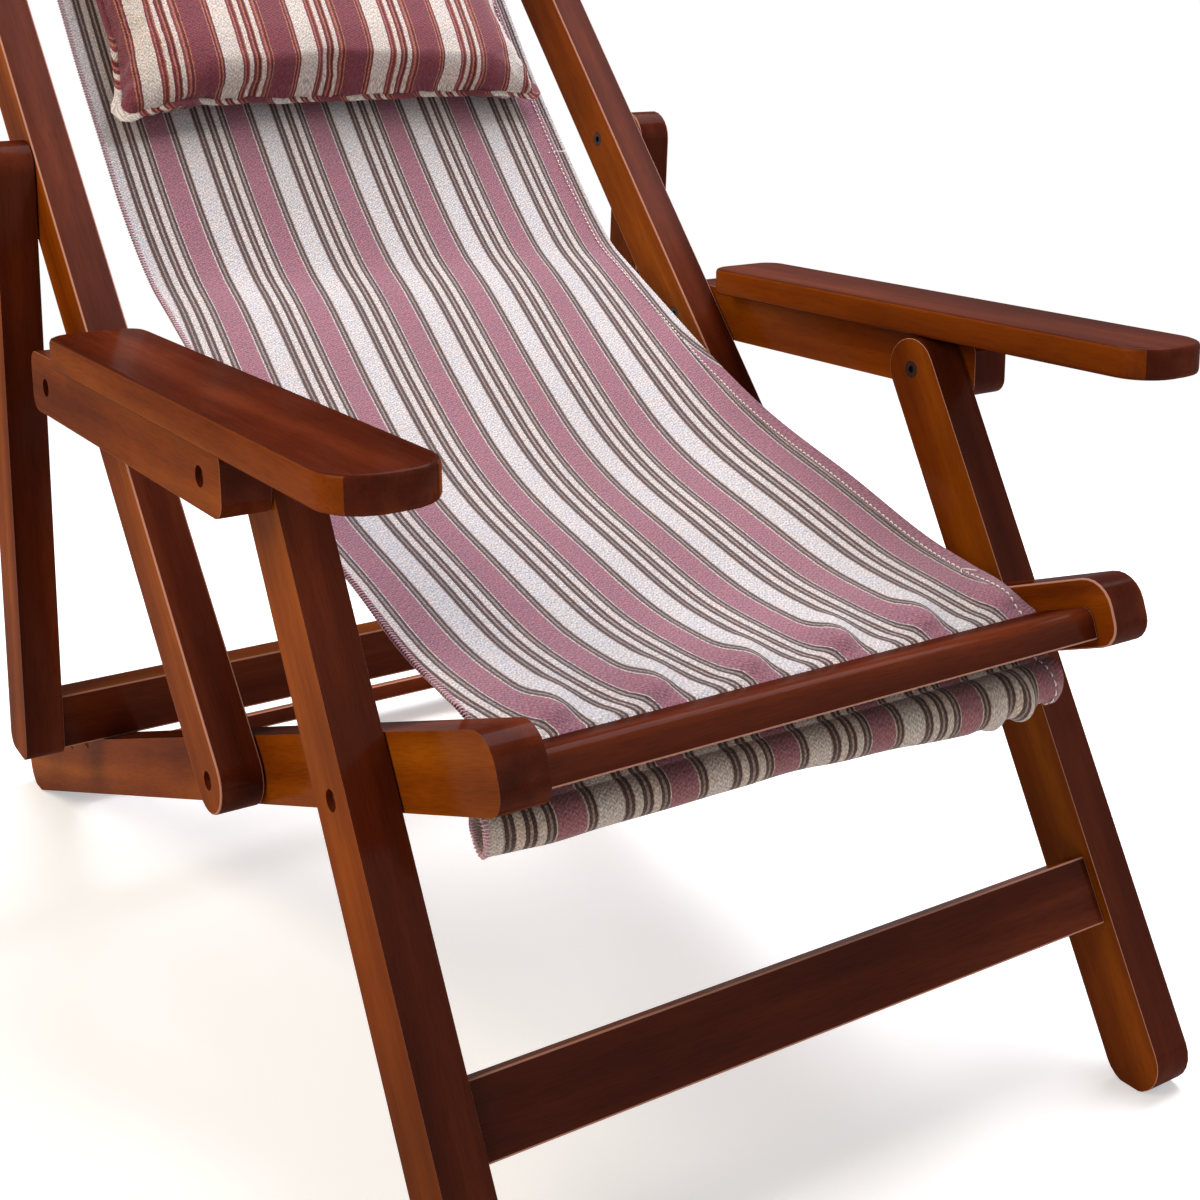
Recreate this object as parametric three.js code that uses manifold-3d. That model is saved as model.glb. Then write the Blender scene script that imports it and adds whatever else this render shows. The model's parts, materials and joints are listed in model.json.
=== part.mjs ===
import * as THREE from 'three';
import { mergeVertices } from 'three/addons/utils/BufferGeometryUtils.js';
import Module from 'manifold-3d';

const wasm = await Module();
wasm.setup();

// A folding deck chair with a canvas sling. Sizes are in millimetres, angles in degrees.
// +Z is up, the sitter faces -Y, and left is the sitter's left, at +X.

// Stance of the open chair
const seatPivotHeight = 217;
const railSlopeAngle = 20;
const backAngle = 49.7;
const propLeanAngle = 4;

// Timber, and the three layers of the folding frame from the middle outwards
const timberThickness = 30;
const timberDepth = 45;
const layerGap = 1.5;
const clearHalfWidth = 205; // from the middle to a seat rail
const floorFlatDepth = 1.5; // planed off each foot

// Clearances and steps
const fitGap = 0.3;
const cutOverrun = 2;
const weldDistance = 0.001;
const arcStepAngle = 15;
const roundSides = 16;

// Linkage: distances between pivots
const seatLegPivotSpan = 204;
const legPivotDrop = 8.5; // below the middle of the seat rail
const seatArmPivotSpan = 300;
const legArmPivotSpan = 192.5;
const armPivotSpan = 296;
const seatPropPivotSpan = 484;

const halfDepth = timberDepth / 2;
const innerLayer = clearHalfWidth;
const middleLayer = innerLayer + timberThickness + layerGap;
const outerLayer = middleLayer + timberThickness + layerGap;
const sides = [['left', 1], ['right', -1]];

function radians(degrees) {
  return THREE.MathUtils.degToRad(degrees);
}

function polar(length, degrees) {
  return new THREE.Vector2(length * Math.cos(radians(degrees)), length * Math.sin(radians(degrees)));
}

function angleOf(vector) {
  return THREE.MathUtils.radToDeg(Math.atan2(vector.y, vector.x));
}

// Where two circles cross, on the side that lies above the line between their centres
function crossing(a, radiusA, b, radiusB) {
  const line = b.clone().sub(a);
  const distance = line.length();
  const along = (radiusA ** 2 - radiusB ** 2 + distance ** 2) / (2 * distance);
  const aside = Math.sqrt(radiusA ** 2 - along ** 2);
  const unit = line.clone().normalize();
  const normal = new THREE.Vector2(-unit.y, unit.x);
  return a.clone().addScaledVector(unit, along).addScaledVector(normal, aside);
}

// Pivots of the open chair, as points in the side view (y, z)
const seatPivot = new THREE.Vector2(0, seatPivotHeight);
const railDirection = polar(1, -railSlopeAngle);
const railNormal = polar(1, 90 - railSlopeAngle);
const legPivotForward = Math.sqrt(seatLegPivotSpan ** 2 - legPivotDrop ** 2);
const legPivot = seatPivot.clone()
  .addScaledVector(railDirection, -legPivotForward)
  .addScaledVector(railNormal, -legPivotDrop);
const backArmPivot = seatPivot.clone().add(polar(seatArmPivotSpan, backAngle));
const legArmPivot = crossing(legPivot, legArmPivotSpan, backArmPivot, armPivotSpan);
const propPivot = seatPivot.clone().add(polar(seatPropPivotSpan, backAngle));
const legAngle = angleOf(legArmPivot.clone().sub(legPivot));
const armAngle = angleOf(backArmPivot.clone().sub(legArmPivot));
const propAngle = propLeanAngle - 90;

// Finishes
const varnishedWood = { color: 0x6b2c14, roughness: 0.28, metalness: 0 };
const copperSteel = { color: 0xb97a52, roughness: 0.35, metalness: 0.9 };
const blackSteel = { color: 0x2b2420, roughness: 0.45, metalness: 0.8 };
const brightSteel = { color: 0xb4b0a8, roughness: 0.35, metalness: 0.9 };
const plainWood = { color: 0xa9784a, roughness: 0.6, metalness: 0 };
const stripedCanvas = { color: 0xb9949a, roughness: 0.95, metalness: 0 };
const cushionCanvas = { color: 0xa86a6c, roughness: 0.95, metalness: 0 };

// Turned groups, each with its origin on a pivot and +Y along its timber
function frameAt(name, point, degrees) {
  const frame = new THREE.Group();
  frame.name = name;
  frame.position.set(0, point.x, point.y);
  frame.rotation.x = radians(degrees);
  return frame;
}

const chair = new THREE.Group();
const seatFrame = frameAt('seatFrame', seatPivot, -railSlopeAngle);
const backFrame = frameAt('backFrame', seatPivot, backAngle);
const legFrame = frameAt('legFrame', legPivot, legAngle);
const armFrame = frameAt('armFrame', legArmPivot, armAngle);
const propFrame = frameAt('propFrame', propPivot, propAngle);
chair.add(seatFrame, backFrame, legFrame, armFrame, propFrame);

// The place of a point of one frame in another
function placeIn(target, source, y, z) {
  const turn = source.rotation.x;
  const world = new THREE.Vector2(y, z).rotateAround(new THREE.Vector2(), turn);
  world.add(new THREE.Vector2(source.position.y, source.position.z));
  world.sub(new THREE.Vector2(target.position.y, target.position.z));
  return world.rotateAround(new THREE.Vector2(), -target.rotation.x);
}

function addMesh(frame, name, geometry, finish) {
  const mesh = new THREE.Mesh(geometry, new THREE.MeshStandardMaterial(finish));
  mesh.name = name;
  frame.add(mesh);
}

// Solids
function toSolid(geometry) {
  const bare = geometry.clone();
  bare.deleteAttribute('normal');
  bare.deleteAttribute('uv');
  const merged = mergeVertices(bare, weldDistance);
  const index = merged.index.array;
  const kept = [];
  for (let i = 0; i < index.length; i += 3) {
    const [a, b, c] = index.subarray(i, i + 3);
    if (a !== b && b !== c && c !== a) kept.push(a, b, c);
  }
  const vertProperties = new Float32Array(merged.attributes.position.array);
  return new wasm.Manifold(new wasm.Mesh({ numProp: 3, vertProperties, triVerts: new Uint32Array(kept) }));
}

function toGeometry(solid) {
  const mesh = solid.getMesh();
  const geometry = new THREE.BufferGeometry();
  geometry.setAttribute('position', new THREE.BufferAttribute(mesh.vertProperties, 3));
  geometry.setIndex(new THREE.BufferAttribute(mesh.triVerts, 1));
  return geometry;
}

function cut(geometry, cutters) {
  const solid = cutters.reduce((rest, cutter) => rest.subtract(toSolid(cutter)), toSolid(geometry));
  return toGeometry(solid);
}

function join(first, second) {
  return toGeometry(toSolid(first).add(toSolid(second)));
}

// Outlines in the side view
function arc(y, z, radius, from, to, stepAngle = arcStepAngle) {
  const steps = Math.ceil(Math.abs(to - from) / stepAngle);
  const points = [];
  for (let i = 0; i <= steps; i += 1) {
    points.push(polar(radius, from + ((to - from) * i) / steps).add(new THREE.Vector2(y, z)));
  }
  return points;
}

// A closed outline through corners [y, z, radius], given anticlockwise
function roundedOutline(corners) {
  const points = [];
  corners.forEach(([y, z, radius], i) => {
    const corner = new THREE.Vector2(y, z);
    if (!radius) {
      points.push(corner);
      return;
    }
    const before = new THREE.Vector2(...corners[(i + corners.length - 1) % corners.length]).sub(corner);
    const after = new THREE.Vector2(...corners[(i + 1) % corners.length]).sub(corner);
    const halfAngle = before.angleTo(after) / 2;
    const inward = before.clone().normalize().add(after.clone().normalize()).normalize();
    const centre = corner.clone().addScaledVector(inward, radius / Math.sin(halfAngle));
    const middle = angleOf(inward.clone().negate());
    const swing = 90 - THREE.MathUtils.radToDeg(halfAngle);
    const turn = Math.sign(before.cross(after)) * -1;
    points.push(...arc(centre.x, centre.y, radius, middle - turn * swing, middle + turn * swing));
  });
  return points.filter((point, i) => point.distanceTo(points[(i + 1) % points.length]) > weldDistance);
}

function box(y0, y1, z0, z1, radii = [0, 0, 0, 0]) {
  return [[y0, z0, radii[0]], [y1, z0, radii[1]], [y1, z1, radii[2]], [y0, z1, radii[3]]];
}

// Gives a side-view outline a width across the chair, from x to x + width
const acrossChair = new THREE.Matrix4().makeBasis(
  new THREE.Vector3(0, 1, 0), new THREE.Vector3(0, 0, 1), new THREE.Vector3(1, 0, 0));

function plank(points, x, width, holes = []) {
  const shape = new THREE.Shape(points);
  holes.forEach((hole) => shape.holes.push(new THREE.Path(hole)));
  const geometry = new THREE.ExtrudeGeometry(shape, { depth: width, bevelEnabled: false });
  return geometry.applyMatrix4(acrossChair).translate(x, 0, 0);
}

function layerStart(side, layer, width = timberThickness) {
  return side > 0 ? layer : -layer - width;
}

// A round cutter or rod across the chair, between two places along X
function roundAcross(radius, x0, x1, y, z) {
  const rod = new THREE.CylinderGeometry(radius, radius, Math.abs(x1 - x0), roundSides);
  return rod.rotateZ(radians(90)).translate((x0 + x1) / 2, y, z);
}

function blockAcross(outline, reach) {
  return plank(roundedOutline(outline), -reach, 2 * reach);
}

// The floor, as a cutter in a turned frame
function floorCutter(frame) {
  const blockDepth = clearHalfWidth;
  const block = new THREE.BoxGeometry(2 * (outerLayer + timberThickness), 2 * blockDepth, blockDepth);
  block.translate(0, 0, -blockDepth / 2);
  const frameMatrix = new THREE.Matrix4().makeRotationX(frame.rotation.x).setPosition(frame.position);
  const foot = new THREE.Matrix4().makeTranslation(0, frame.userData.footY, 0);
  return block.applyMatrix4(foot).applyMatrix4(frameMatrix.invert());
}

// Pivot fasteners: a bolt from the outer face into a sleeve nut from the inner face
const boltHeadRadius = 6.2;
const boltHeadThickness = 3.5;
const boltHeadSink = 3.5;
const boltShankRadius = 3;
const boltShankShort = 9; // the shank ends this far from the nut's flange
const nutFlangeRadius = 5.8;
const nutFlangeThickness = 2;
const nutSleeveRadius = 4.6;
const nutWebThickness = 4; // closed end of the sleeve, behind its flange
const hexRadius = 2.9;
const hexDepth = 2.4;
const washerRadius = 11;
const boreRadius = nutSleeveRadius + fitGap;
const headBoreDepth = boltHeadSink + boltHeadThickness + fitGap;

function turned(profile) {
  const points = profile.map(([radius, along]) => new THREE.Vector2(radius, along));
  return new THREE.LatheGeometry(points, roundSides);
}

function hexCutter() {
  const hex = new THREE.CylinderGeometry(hexRadius, hexRadius, hexDepth + cutOverrun, 6);
  return hex.translate(0, (hexDepth - cutOverrun) / 2, 0);
}

// Stands a turned piece across the chair: its foot at x, pointing along +X or -X
function lieAcross(geometry, x, direction, y, z) {
  return geometry.rotateZ(radians(-90 * direction)).translate(x, y, z);
}

function boltGeometry(length) {
  const body = turned([
    [0, 0], [boltHeadRadius, 0], [boltHeadRadius, boltHeadThickness],
    [boltShankRadius, boltHeadThickness], [boltShankRadius, length], [0, length],
  ]);
  return cut(body, [hexCutter()]);
}

function nutGeometry(length) {
  const webEnd = nutFlangeThickness + nutWebThickness;
  const threadRadius = boltShankRadius + fitGap;
  const body = turned([
    [0, 0], [nutFlangeRadius, 0], [nutFlangeRadius, nutFlangeThickness],
    [nutSleeveRadius, nutFlangeThickness], [nutSleeveRadius, length],
    [threadRadius, length], [threadRadius, webEnd], [0, webEnd],
  ]);
  return cut(body, [hexCutter()]);
}

function washerGeometry() {
  const thickness = layerGap - 2 * fitGap;
  return turned([
    [boreRadius, 0], [washerRadius, 0], [washerRadius, thickness],
    [boreRadius, thickness], [boreRadius, 0],
  ]);
}

// Cutters for a pivot in the timbers that it joins: the nut's side and the bolt's side
function nutBore(side, layer, y, z) {
  return roundAcross(nutFlangeRadius + fitGap, side * (layer - cutOverrun),
    side * (layer + nutFlangeThickness + fitGap), y, z);
}

function boltBore(side, layer, y, z) {
  const face = layer + timberThickness;
  const headRadius = boltHeadRadius + fitGap;
  return roundAcross(headRadius, side * (face - headBoreDepth), side * (face + cutOverrun), y, z);
}

function boreHole(y, z) {
  return arc(y, z, boreRadius, 360, 0).slice(1);
}

// One pivot's bolt, nut and washer. A split pivot's bolt and nut end in their own timbers.
function addPivot(name, innerOne, boltFrame, nutFrame, point, split) {
  const boltPoint = placeIn(boltFrame, point.frame, point.y, point.z);
  const nutPoint = placeIn(nutFrame, point.frame, point.y, point.z);
  const outerFace = innerOne + 2 * timberThickness + layerGap;
  const headFace = outerFace - boltHeadSink;
  const middle = innerOne + timberThickness;
  const boltEnd = split ? middle + layerGap + fitGap : innerOne + nutFlangeThickness + boltShankShort;
  const nutEnd = split ? middle - fitGap : headFace - boltHeadThickness - fitGap;
  sides.forEach(([label, side]) => {
    const bolt = boltGeometry(headFace - boltEnd);
    const nut = nutGeometry(nutEnd - innerOne);
    const washer = washerGeometry();
    lieAcross(bolt, side * headFace, -side, boltPoint.x, boltPoint.y);
    lieAcross(nut, side * innerOne, side, nutPoint.x, nutPoint.y);
    lieAcross(washer, side * (middle + fitGap), side, boltPoint.x, boltPoint.y);
    addMesh(boltFrame, `${label}_${name}_bolt`, bolt, copperSteel);
    addMesh(nutFrame, `${label}_${name}_nut`, nut, blackSteel);
    addMesh(boltFrame, `${label}_${name}_washer`, washer, brightSteel);
  });
}

// Cross pieces have a tenon at each end, let into the timbers that they join
const tenonLength = 12;
const tenonShoulder = 4;

function tenonOutline([y0, y1, z0, z1], gap) {
  const inset = tenonShoulder - gap;
  return box(y0 + inset, y1 - inset, z0 + inset, z1 - inset);
}

function crossPiece(outline, tenonBox, halfWidth) {
  const bar = blockAcross(outline, halfWidth - fitGap);
  return join(bar, blockAcross(tenonOutline(tenonBox, 0), halfWidth + tenonLength));
}

function mortise(tenonBox, halfWidth) {
  return blockAcross(tenonOutline(tenonBox, fitGap), halfWidth + tenonLength + fitGap);
}

// Seat rails, in the seat frame: +Y runs down towards the back from the seat pivot
const railFrontReach = 346;
const railFrontTopRadius = 20;
const railFrontBottomRadius = 15;
const frontBarDepth = 44;
const frontBarHeight = 21;
const frontBarTop = 4.5; // above the middle of the rail
const frontBarInset = 16; // behind the front end of the rail
const frontBarRoundOver = 8;
const slingSlot = 5;
const slingBarDepth = 22;
const barEdgeRadius = 4;
const rearBarInset = 53; // its front edge ahead of the middle of the foot
const rearBarDepth = 40;
const rearBarHeight = 14.5;
const rearBarTop = 5.5;
const notchPitch = 50;
const notchDepth = 8;
const notchCount = 2;

const footRadius = halfDepth;
const footRise = footRadius - floorFlatDepth; // of a foot's round centre above the floor
const railRearReach = (seatPivotHeight - footRise) / Math.sin(radians(railSlopeAngle));

const frontBarBox = [
  frontBarInset - railFrontReach, frontBarInset + frontBarDepth - railFrontReach,
  frontBarTop - frontBarHeight, frontBarTop,
];
const slingBarBox = [
  frontBarBox[1] + slingSlot, frontBarBox[1] + slingSlot + slingBarDepth, frontBarBox[2], frontBarBox[3],
];
const rearBarStart = railRearReach - rearBarInset;
const rearBarBox = [
  rearBarStart, rearBarStart + rearBarDepth, rearBarTop - rearBarHeight, rearBarTop,
];

// Props, in the prop frame: +Y runs down the prop from its pivot, +Z faces the back
const propFootLength = 5; // past the lowest edge of its crossbar
const propFootRadius = 11;
const propBarHeight = 45;
const propBarThickness = 22;
const propBarInset = 4.5; // behind the front edges of the props

// The prop crossbar stands on the seat rails' upper edges
const propBarFront = propBarInset - halfDepth;
const standingPlane = halfDepth + fitGap;
const propInRail = placeIn(seatFrame, propFrame, 0, 0);
const propTilt = radians(propAngle + railSlopeAngle);

function propReachToRail(across) {
  return (standingPlane - propInRail.y - across * Math.cos(propTilt)) / Math.sin(propTilt);
}

const propBarReach = propReachToRail(propBarFront);
const propEnd = propBarReach + propFootLength;
const bearingBack = propBarFront + propFootLength * Math.abs(Math.tan(propTilt));
const standingPoint = placeIn(seatFrame, propFrame, propBarReach, propBarFront);

// Saw-tooth notches behind the crossbar: a steep wall in front, and a ramp square to the prop
function notchCutter(count) {
  const start = standingPoint.x + notchPitch * count;
  const floor = halfDepth - notchDepth;
  const rampLength = notchDepth * Math.abs(Math.tan(propTilt));
  const wallLean = notchDepth / Math.abs(Math.tan(propTilt));
  const rise = cutOverrun / notchDepth;
  return blockAcross([
    [start, floor],
    [start + rampLength * (1 + rise), halfDepth + cutOverrun],
    [start - wallLean * (1 + rise), halfDepth + cutOverrun],
  ], middleLayer);
}

function addSeatFrame() {
  const outline = roundedOutline(box(-railFrontReach, railRearReach + halfDepth, -halfDepth, halfDepth,
    [railFrontBottomRadius, halfDepth, halfDepth, railFrontTopRadius]));
  const legY = -legPivotForward;
  const legZ = -legPivotDrop;
  seatFrame.userData.footY = railRearReach;
  const notches = [];
  for (let count = 1; count <= notchCount; count += 1) notches.push(notchCutter(count));
  const bores = [boreHole(0, 0), boreHole(legY, legZ)];
  sides.forEach(([label, side]) => {
    const blank = plank(outline, layerStart(side, innerLayer), timberThickness, bores);
    addMesh(seatFrame, `${label}_seat_rail`, cut(blank, [
      mortise(frontBarBox, innerLayer), mortise(slingBarBox, innerLayer), mortise(rearBarBox, innerLayer),
      nutBore(side, innerLayer, 0, 0), nutBore(side, innerLayer, legY, legZ),
      ...notches, floorCutter(seatFrame),
    ]), varnishedWood);
  });
  addMesh(seatFrame, 'front_crossbar',
    crossPiece(box(...frontBarBox, [0, 0, 0, frontBarRoundOver]), frontBarBox, innerLayer), varnishedWood);
  addMesh(seatFrame, 'sling_bar',
    crossPiece(box(...slingBarBox, [0, 0, barEdgeRadius, barEdgeRadius]), slingBarBox, innerLayer),
    varnishedWood);
  addMesh(seatFrame, 'rear_crossbar',
    crossPiece(box(...rearBarBox), rearBarBox, innerLayer), varnishedWood);
}

// Back frame: +Y runs up the back from the seat pivot, +Z faces the sitter
const backReach = 850;
const topBarInset = 26; // below the top ends of the back rails

const topBarBox = [
  backReach - topBarInset - frontBarDepth, backReach - topBarInset, frontBarBox[2], frontBarBox[3],
];
const topSlingBarBox = [
  topBarBox[0] - slingSlot - slingBarDepth, topBarBox[0] - slingSlot, frontBarBox[2], frontBarBox[3],
];

function addBackFrame() {
  const outline = roundedOutline(box(-halfDepth, backReach, -halfDepth, halfDepth,
    [halfDepth, halfDepth, halfDepth, halfDepth]));
  const bores = [boreHole(0, 0), boreHole(seatArmPivotSpan, 0), boreHole(seatPropPivotSpan, 0)];
  sides.forEach(([label, side]) => {
    const blank = plank(outline, layerStart(side, middleLayer), timberThickness, bores);
    addMesh(backFrame, `${label}_back_rail`, cut(blank, [
      mortise(topBarBox, middleLayer), mortise(topSlingBarBox, middleLayer),
      boltBore(side, middleLayer, 0, 0), nutBore(side, middleLayer, seatArmPivotSpan, 0),
      nutBore(side, middleLayer, seatPropPivotSpan, 0),
    ]), varnishedWood);
  });
  addMesh(backFrame, 'top_crossbar',
    crossPiece(box(...topBarBox, [0, 0, frontBarRoundOver, 0]), topBarBox, middleLayer), varnishedWood);
  addMesh(backFrame, 'top_sling_bar',
    crossPiece(box(...topSlingBarBox, [0, 0, barEdgeRadius, barEdgeRadius]), topSlingBarBox, middleLayer),
    varnishedWood);
}

function addPropFrame() {
  const outline = roundedOutline(box(-halfDepth, propEnd, -halfDepth, halfDepth,
    [halfDepth, propFootRadius, propFootRadius, halfDepth]));
  const barTop = propBarReach - propBarHeight;
  const barBack = propBarFront + propBarThickness;
  const barBox = [barTop, propBarReach, propBarFront, barBack];
  sides.forEach(([label, side]) => {
    const blank = plank(outline, layerStart(side, outerLayer), timberThickness, [boreHole(0, 0)]);
    addMesh(propFrame, `${label}_prop`,
      cut(blank, [mortise(barBox, outerLayer), boltBore(side, outerLayer, 0, 0)]), varnishedWood);
  });
  const section = [
    [barTop, propBarFront], [propBarReach, propBarFront], [propEnd, bearingBack],
    [propEnd, barBack], [barTop, barBack],
  ];
  addMesh(propFrame, 'prop_crossbar', crossPiece(section, barBox, outerLayer), varnishedWood);
}

// Legs, in the leg frame: +Y runs up the leg from the pivot on the seat rail, +Z faces the front
const stretcherDrop = 161; // from the seat rail's pivot to the upper edge
const stretcherHeight = 44.5;
const stretcherThickness = 20;
const stretcherInset = 6; // behind the front edges of the legs

function addLegFrame() {
  const legReach = (legPivot.y - footRise) / Math.sin(radians(legAngle));
  const legTop = legArmPivotSpan + halfDepth;
  const outline = roundedOutline(box(-legReach - halfDepth, legTop, -halfDepth, halfDepth,
    [halfDepth, halfDepth, halfDepth, halfDepth]));
  const bores = [boreHole(0, 0), boreHole(legArmPivotSpan, 0)];
  const stretcherFront = halfDepth - stretcherInset;
  const stretcherBox = [
    -stretcherDrop - stretcherHeight, -stretcherDrop, stretcherFront - stretcherThickness, stretcherFront,
  ];
  legFrame.userData.footY = legPivot.x - legReach * Math.cos(radians(legAngle));
  sides.forEach(([label, side]) => {
    const blank = plank(outline, layerStart(side, middleLayer), timberThickness, bores);
    addMesh(legFrame, `${label}_leg`, cut(blank, [
      mortise(stretcherBox, middleLayer), boltBore(side, middleLayer, 0, 0),
      nutBore(side, middleLayer, legArmPivotSpan, 0), floorCutter(legFrame),
    ]), varnishedWood);
  });
  addMesh(legFrame, 'leg_stretcher',
    crossPiece(box(...stretcherBox), stretcherBox, middleLayer), varnishedWood);
}

// Arms, in the arm frame: +Y runs back from the pivot on the leg
const supportOverhang = 32; // past the pivot at each end
const supportBelow = 20;
const supportRadius = 11;
const armrestRise = 23; // underside above the line of the pivots
const armrestWidth = 67;
const armrestThickness = 21;
const armrestOverhang = 11; // past the outer face of the support
const armrestFront = 208; // ahead of the pivot on the leg
const armrestRear = 41; // end of the armrest ahead of the pivot on the back rail
const armrestFrontRadius = 28;
const armrestRearRadius = 17;
const armrestEdgeRadius = 3;
const screwHeadRadius = 4;
const screwHeadThickness = 3;
const screwRadius = 2;
const screwBite = 13; // into the armrest
const screwGrip = 20; // of support between the head and the armrest
const screwEndInset = 60; // from each pivot of the arm

function screwGeometry(length) {
  return turned([
    [0, 0], [screwHeadRadius, 0], [screwHeadRadius, screwHeadThickness],
    [screwRadius, screwHeadThickness], [screwRadius, length], [0, length],
  ]);
}

function uprightHole(radius, x, y, z0, z1) {
  const hole = new THREE.CylinderGeometry(radius, radius, z1 - z0, roundSides);
  return hole.rotateX(radians(90)).translate(x, y, (z0 + z1) / 2);
}

function armrestBlank(side) {
  const outer = outerLayer + timberThickness + armrestOverhang;
  const inner = outer - armrestWidth;
  const x0 = side > 0 ? inner : -outer;
  const corners = [
    [x0, -armrestFront, armrestFrontRadius], [x0 + armrestWidth, -armrestFront, armrestFrontRadius],
    [x0 + armrestWidth, armPivotSpan - armrestRear, armrestRearRadius],
    [x0, armPivotSpan - armrestRear, armrestRearRadius],
  ];
  const board = new THREE.ExtrudeGeometry(new THREE.Shape(roundedOutline(corners)), {
    depth: armrestThickness - 2 * armrestEdgeRadius,
    bevelThickness: armrestEdgeRadius,
    bevelSize: armrestEdgeRadius,
    bevelOffset: -armrestEdgeRadius,
    bevelSegments: 2,
  });
  return board.translate(0, 0, armrestRise + armrestEdgeRadius);
}

function addArms() {
  const supportTop = armrestRise - fitGap;
  const supportEnd = armPivotSpan + supportOverhang;
  const outline = roundedOutline(box(-supportOverhang, supportEnd, -supportBelow, supportTop,
    [supportRadius, supportRadius, supportRadius, supportRadius]));
  const bores = [boreHole(0, 0), boreHole(armPivotSpan, 0)];
  const headTop = supportTop - screwGrip;
  const screwFoot = headTop - screwHeadThickness - fitGap;
  const screwEnd = armrestRise + screwBite;
  const screwX = outerLayer + timberThickness / 2;
  const screwPlaces = [['front', screwEndInset], ['rear', armPivotSpan - screwEndInset]];
  sides.forEach(([label, side]) => {
    const x = side * screwX;
    const blank = plank(outline, layerStart(side, outerLayer), timberThickness, bores);
    const supportHoles = screwPlaces.flatMap(([, y]) => [
      uprightHole(screwHeadRadius + fitGap, x, y, -supportBelow - cutOverrun, headTop),
      uprightHole(screwRadius + fitGap, x, y, -supportBelow, supportTop + cutOverrun),
    ]);
    const armrestHoles = screwPlaces.map(([, y]) => uprightHole(screwRadius + fitGap, x, y,
      armrestRise - cutOverrun, screwEnd + fitGap));
    addMesh(armFrame, `${label}_arm_support`, cut(blank, [
      boltBore(side, outerLayer, 0, 0), boltBore(side, outerLayer, armPivotSpan, 0), ...supportHoles,
    ]), varnishedWood);
    addMesh(armFrame, `${label}_armrest`, cut(armrestBlank(side), armrestHoles), varnishedWood);
    screwPlaces.forEach(([end, y]) => {
      const screw = screwGeometry(screwEnd - screwFoot).rotateX(radians(90)).translate(x, y, screwFoot);
      addMesh(armFrame, `${label}_${end}_armrest_screw`, toGeometry(toSolid(screw)), brightSteel);
    });
  });
}

// Sling, in the seat frame: one length of canvas with a pocket at each end for its rod
const slingHalfWidth = 203;
const canvasThickness = 2;
const rodRadius = 10.5;
const rodDrop = 21.5; // of the rod's middle below the undersides of the bars
const rodEndInset = 22; // inside the end of the pocket
const pocketArcAngle = 36;
const pocketInnerRadius = (rodRadius + fitGap) / Math.cos(radians(pocketArcAngle / 2));
const slingSag = 115; // below the straight line between its bars
const frontLeaveAngle = 36; // where the canvas leaves the round of its bar
const topLeaveAngle = 2;
const slingSteps = 14;
const slingRuns = 11;
const canvasStepAngle = 30;
const foldHeight = 5;
const foldCount = 3;
const foldCentreShare = 0.07;
const foldSpreadShare = 0.06;
const slingProfileShares = [
  [0.043, 0.10], [0.109, 0.31], [0.196, 0.49], [0.344, 0.81],
  [0.525, 0.98], [0.607, 0.99], [0.754, 0.70], [0.884, 0.34],
];

// The canvas turns over a bar's rounded edge at this radius
const canvasTurn = barEdgeRadius + fitGap + canvasThickness / 2;

// The run of one end, from the mouth of the pocket over its bar, as seen in its own frame
function slingEnd(barBox, direction, leaveAngle) {
  const edge = direction > 0 ? barBox[0] + barEdgeRadius : barBox[1] - barEdgeRadius;
  const neckY = edge - direction * canvasTurn;
  const rodCentre = new THREE.Vector2(neckY, barBox[2] - rodDrop);
  const turnCentre = new THREE.Vector2(edge, barBox[3] - barEdgeRadius);
  const from = direction > 0 ? 180 : 0;
  const to = 90 + direction * leaveAngle;
  const over = arc(turnCentre.x, turnCentre.y, canvasTurn, from, to, canvasStepAngle);
  return { rodCentre, neckY, over };
}

function addSling() {
  const frontEnd = slingEnd(slingBarBox, 1, frontLeaveAngle);
  const topEnd = slingEnd(topSlingBarBox, -1, topLeaveAngle);
  const toSeat = (point) => placeIn(seatFrame, backFrame, point.x, point.y);
  const start = frontEnd.over[frontEnd.over.length - 1];
  const topLeave = topEnd.over[topEnd.over.length - 1].clone();
  topLeave.x = topSlingBarBox[0] + barEdgeRadius;
  const end = toSeat(topLeave);
  const chord = end.clone().sub(start);
  const sagward = new THREE.Vector2(chord.y, -chord.x).normalize();
  const middlePoints = slingProfileShares.map(([along, deep]) => start.clone()
    .addScaledVector(chord, along).addScaledVector(sagward, deep * slingSag));
  const curve = new THREE.SplineCurve([start, ...middlePoints, end]);
  const span = [];
  for (let i = 1; i < slingRuns; i += 1) span.push(curve.getPointAt(i / slingRuns));
  const neckFront = new THREE.Vector2(frontEnd.neckY, slingBarBox[2]);
  const neckTop = toSeat(new THREE.Vector2(topEnd.neckY, topSlingBarBox[2]));
  const line = [
    neckFront, ...frontEnd.over, ...span, end, ...topEnd.over.map(toSeat).reverse(), neckTop,
  ];
  const geometry = slingBody(line, frontEnd.rodCentre, toSeat(topEnd.rodCentre), start, chord);
  addMesh(seatFrame, 'sling', geometry, stripedCanvas);
  const rodReach = slingHalfWidth - rodEndInset;
  addMesh(seatFrame, 'seat_dowel',
    roundAcross(rodRadius, -rodReach, rodReach, frontEnd.rodCentre.x, frontEnd.rodCentre.y), plainWood);
  addMesh(backFrame, 'top_dowel',
    roundAcross(rodRadius, -rodReach, rodReach, topEnd.rodCentre.x, topEnd.rodCentre.y), plainWood);
  return [start, ...span, end].map((point) => placeIn(backFrame, seatFrame, point.x, point.y));
}

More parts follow.
